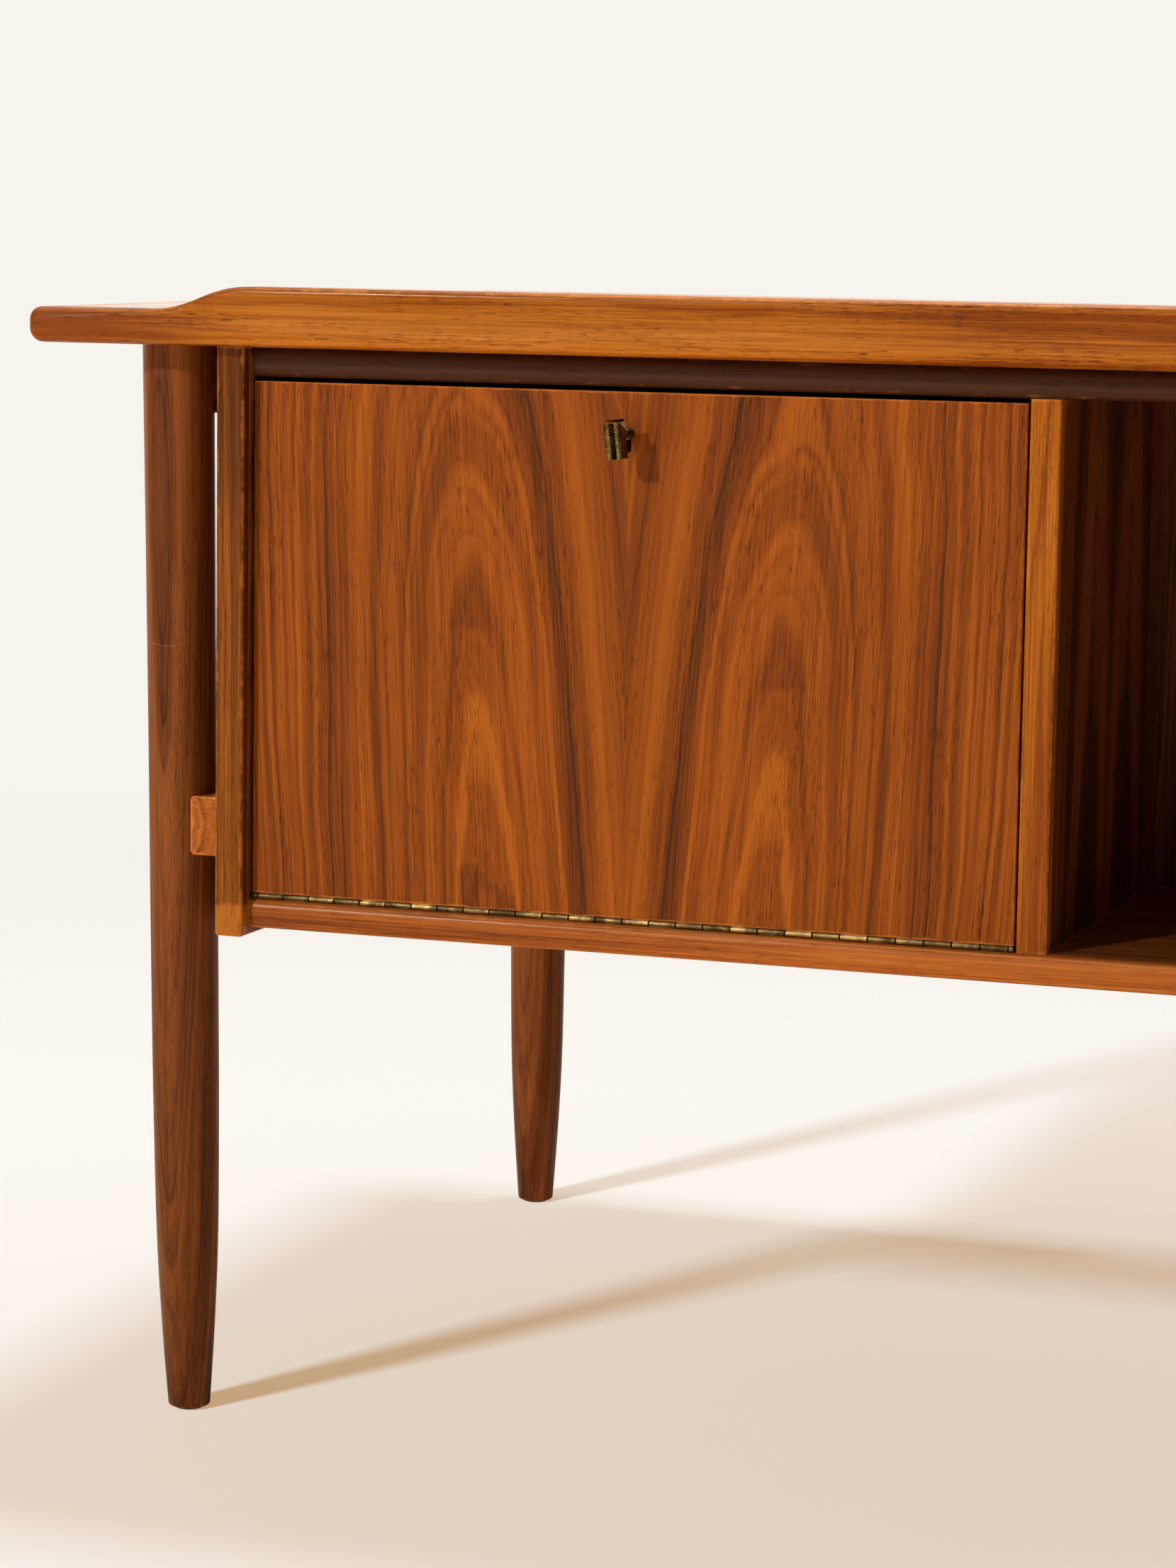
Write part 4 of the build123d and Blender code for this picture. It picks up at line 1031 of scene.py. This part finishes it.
class DESK_OT_lock(bpy.types.Operator):
    """Lock, bolt, strike plate, escutcheon and key"""
    bl_idname = "desk.lock"
    bl_label = "Lock and key"

    def execute(self, context):
        steel = metal("lock_steel", shade_of("steel"), shade_of("steel", 0.45), 0.5)
        dress(steel, "lock_case", "lock_bolt", "strike_plate")
        brass = metal("key_brass", shade_of("brass_bright", 0.7), shade_of("brass_aged", 0.7), 0.95,
                      (0.16, 0.34), 3.0)
        dress(brass, "key")
        aged = metal("escutcheon_brass", shade_of("brass_aged"), shade_of("brass_aged", 0.4))
        dress(aged, "keyhole_escutcheon")
        return {"FINISHED"}


class DESK_OT_drawers(bpy.types.Operator):
    """Six drawers and their runners"""
    bl_idname = "desk.drawers"
    bl_label = "Drawers"

    def execute(self, context):
        pale = dict(depth=0.08, slope=0.02, pores=0.25, red=0.1, gloss=(0.5, 0.65), coat=0.0)
        for side in ("left", "right"):
            for row, name in enumerate(("bottom", "middle", "top")):
                drawer = f"{side}_{name}"
                timber(f"drawer_front_{drawer}", "door", "x", "y", depth=0.045, slope=0.07,
                       pith=0.02 * row - 0.02, wobble=0.005, wear=0.0014, seed=40.0 + 5 * row + len(side))
                timber(f"drawer_box_{drawer}", "inside", "y", "x", band_scale=70.0, bands=0.4,
                       seed=60.0 + 5 * row + len(side), **pale)
        timber("drawer_runners", "inside", "y", "x", seed=80.0, **pale)
        return {"FINISHED"}


OPERATORS = (DESK_OT_studio, DESK_OT_top, DESK_OT_legs, DESK_OT_rails, DESK_OT_cabinet, DESK_OT_door,
             DESK_OT_hinge, DESK_OT_stays, DESK_OT_lock, DESK_OT_drawers)
STORES = {"desk_finish": DeskFinish, "desk_shape": DeskShape, "desk_studio": DeskStudio}


class DESK_PT_panel(bpy.types.Panel):
    """Lists the desk's operators and settings"""
    bl_idname = "DESK_PT_panel"
    bl_label = "Writing desk"
    bl_space_type = "VIEW_3D"
    bl_region_type = "UI"
    bl_category = "Desk"

    def draw(self, context):
        for operator in OPERATORS:
            self.layout.operator(operator.bl_idname)
        for store in STORES:
            box = self.layout.box()
            for name in getattr(context.scene, store).bl_rna.properties.keys():
                if name not in ("rna_type", "name"):
                    box.prop(getattr(context.scene, store), name)


CLASSES = (*STORES.values(), *OPERATORS, DESK_PT_panel)


def register():
    for item in CLASSES:
        bpy.utils.register_class(item)
    for name, store in STORES.items():
        setattr(bpy.types.Scene, name, PointerProperty(type=store))


def unregister():
    for name in STORES:
        delattr(bpy.types.Scene, name)
    for item in reversed(CLASSES):
        bpy.utils.unregister_class(item)


def main():
    """Registers everything and makes each piece in order."""
    register()
    for operator in OPERATORS:
        group, name = operator.bl_idname.split(".")
        if getattr(getattr(bpy.ops, group), name)() != {"FINISHED"}:
            raise RuntimeError(f"{operator.bl_label} was not made")


if __name__ == "__main__":
    main()
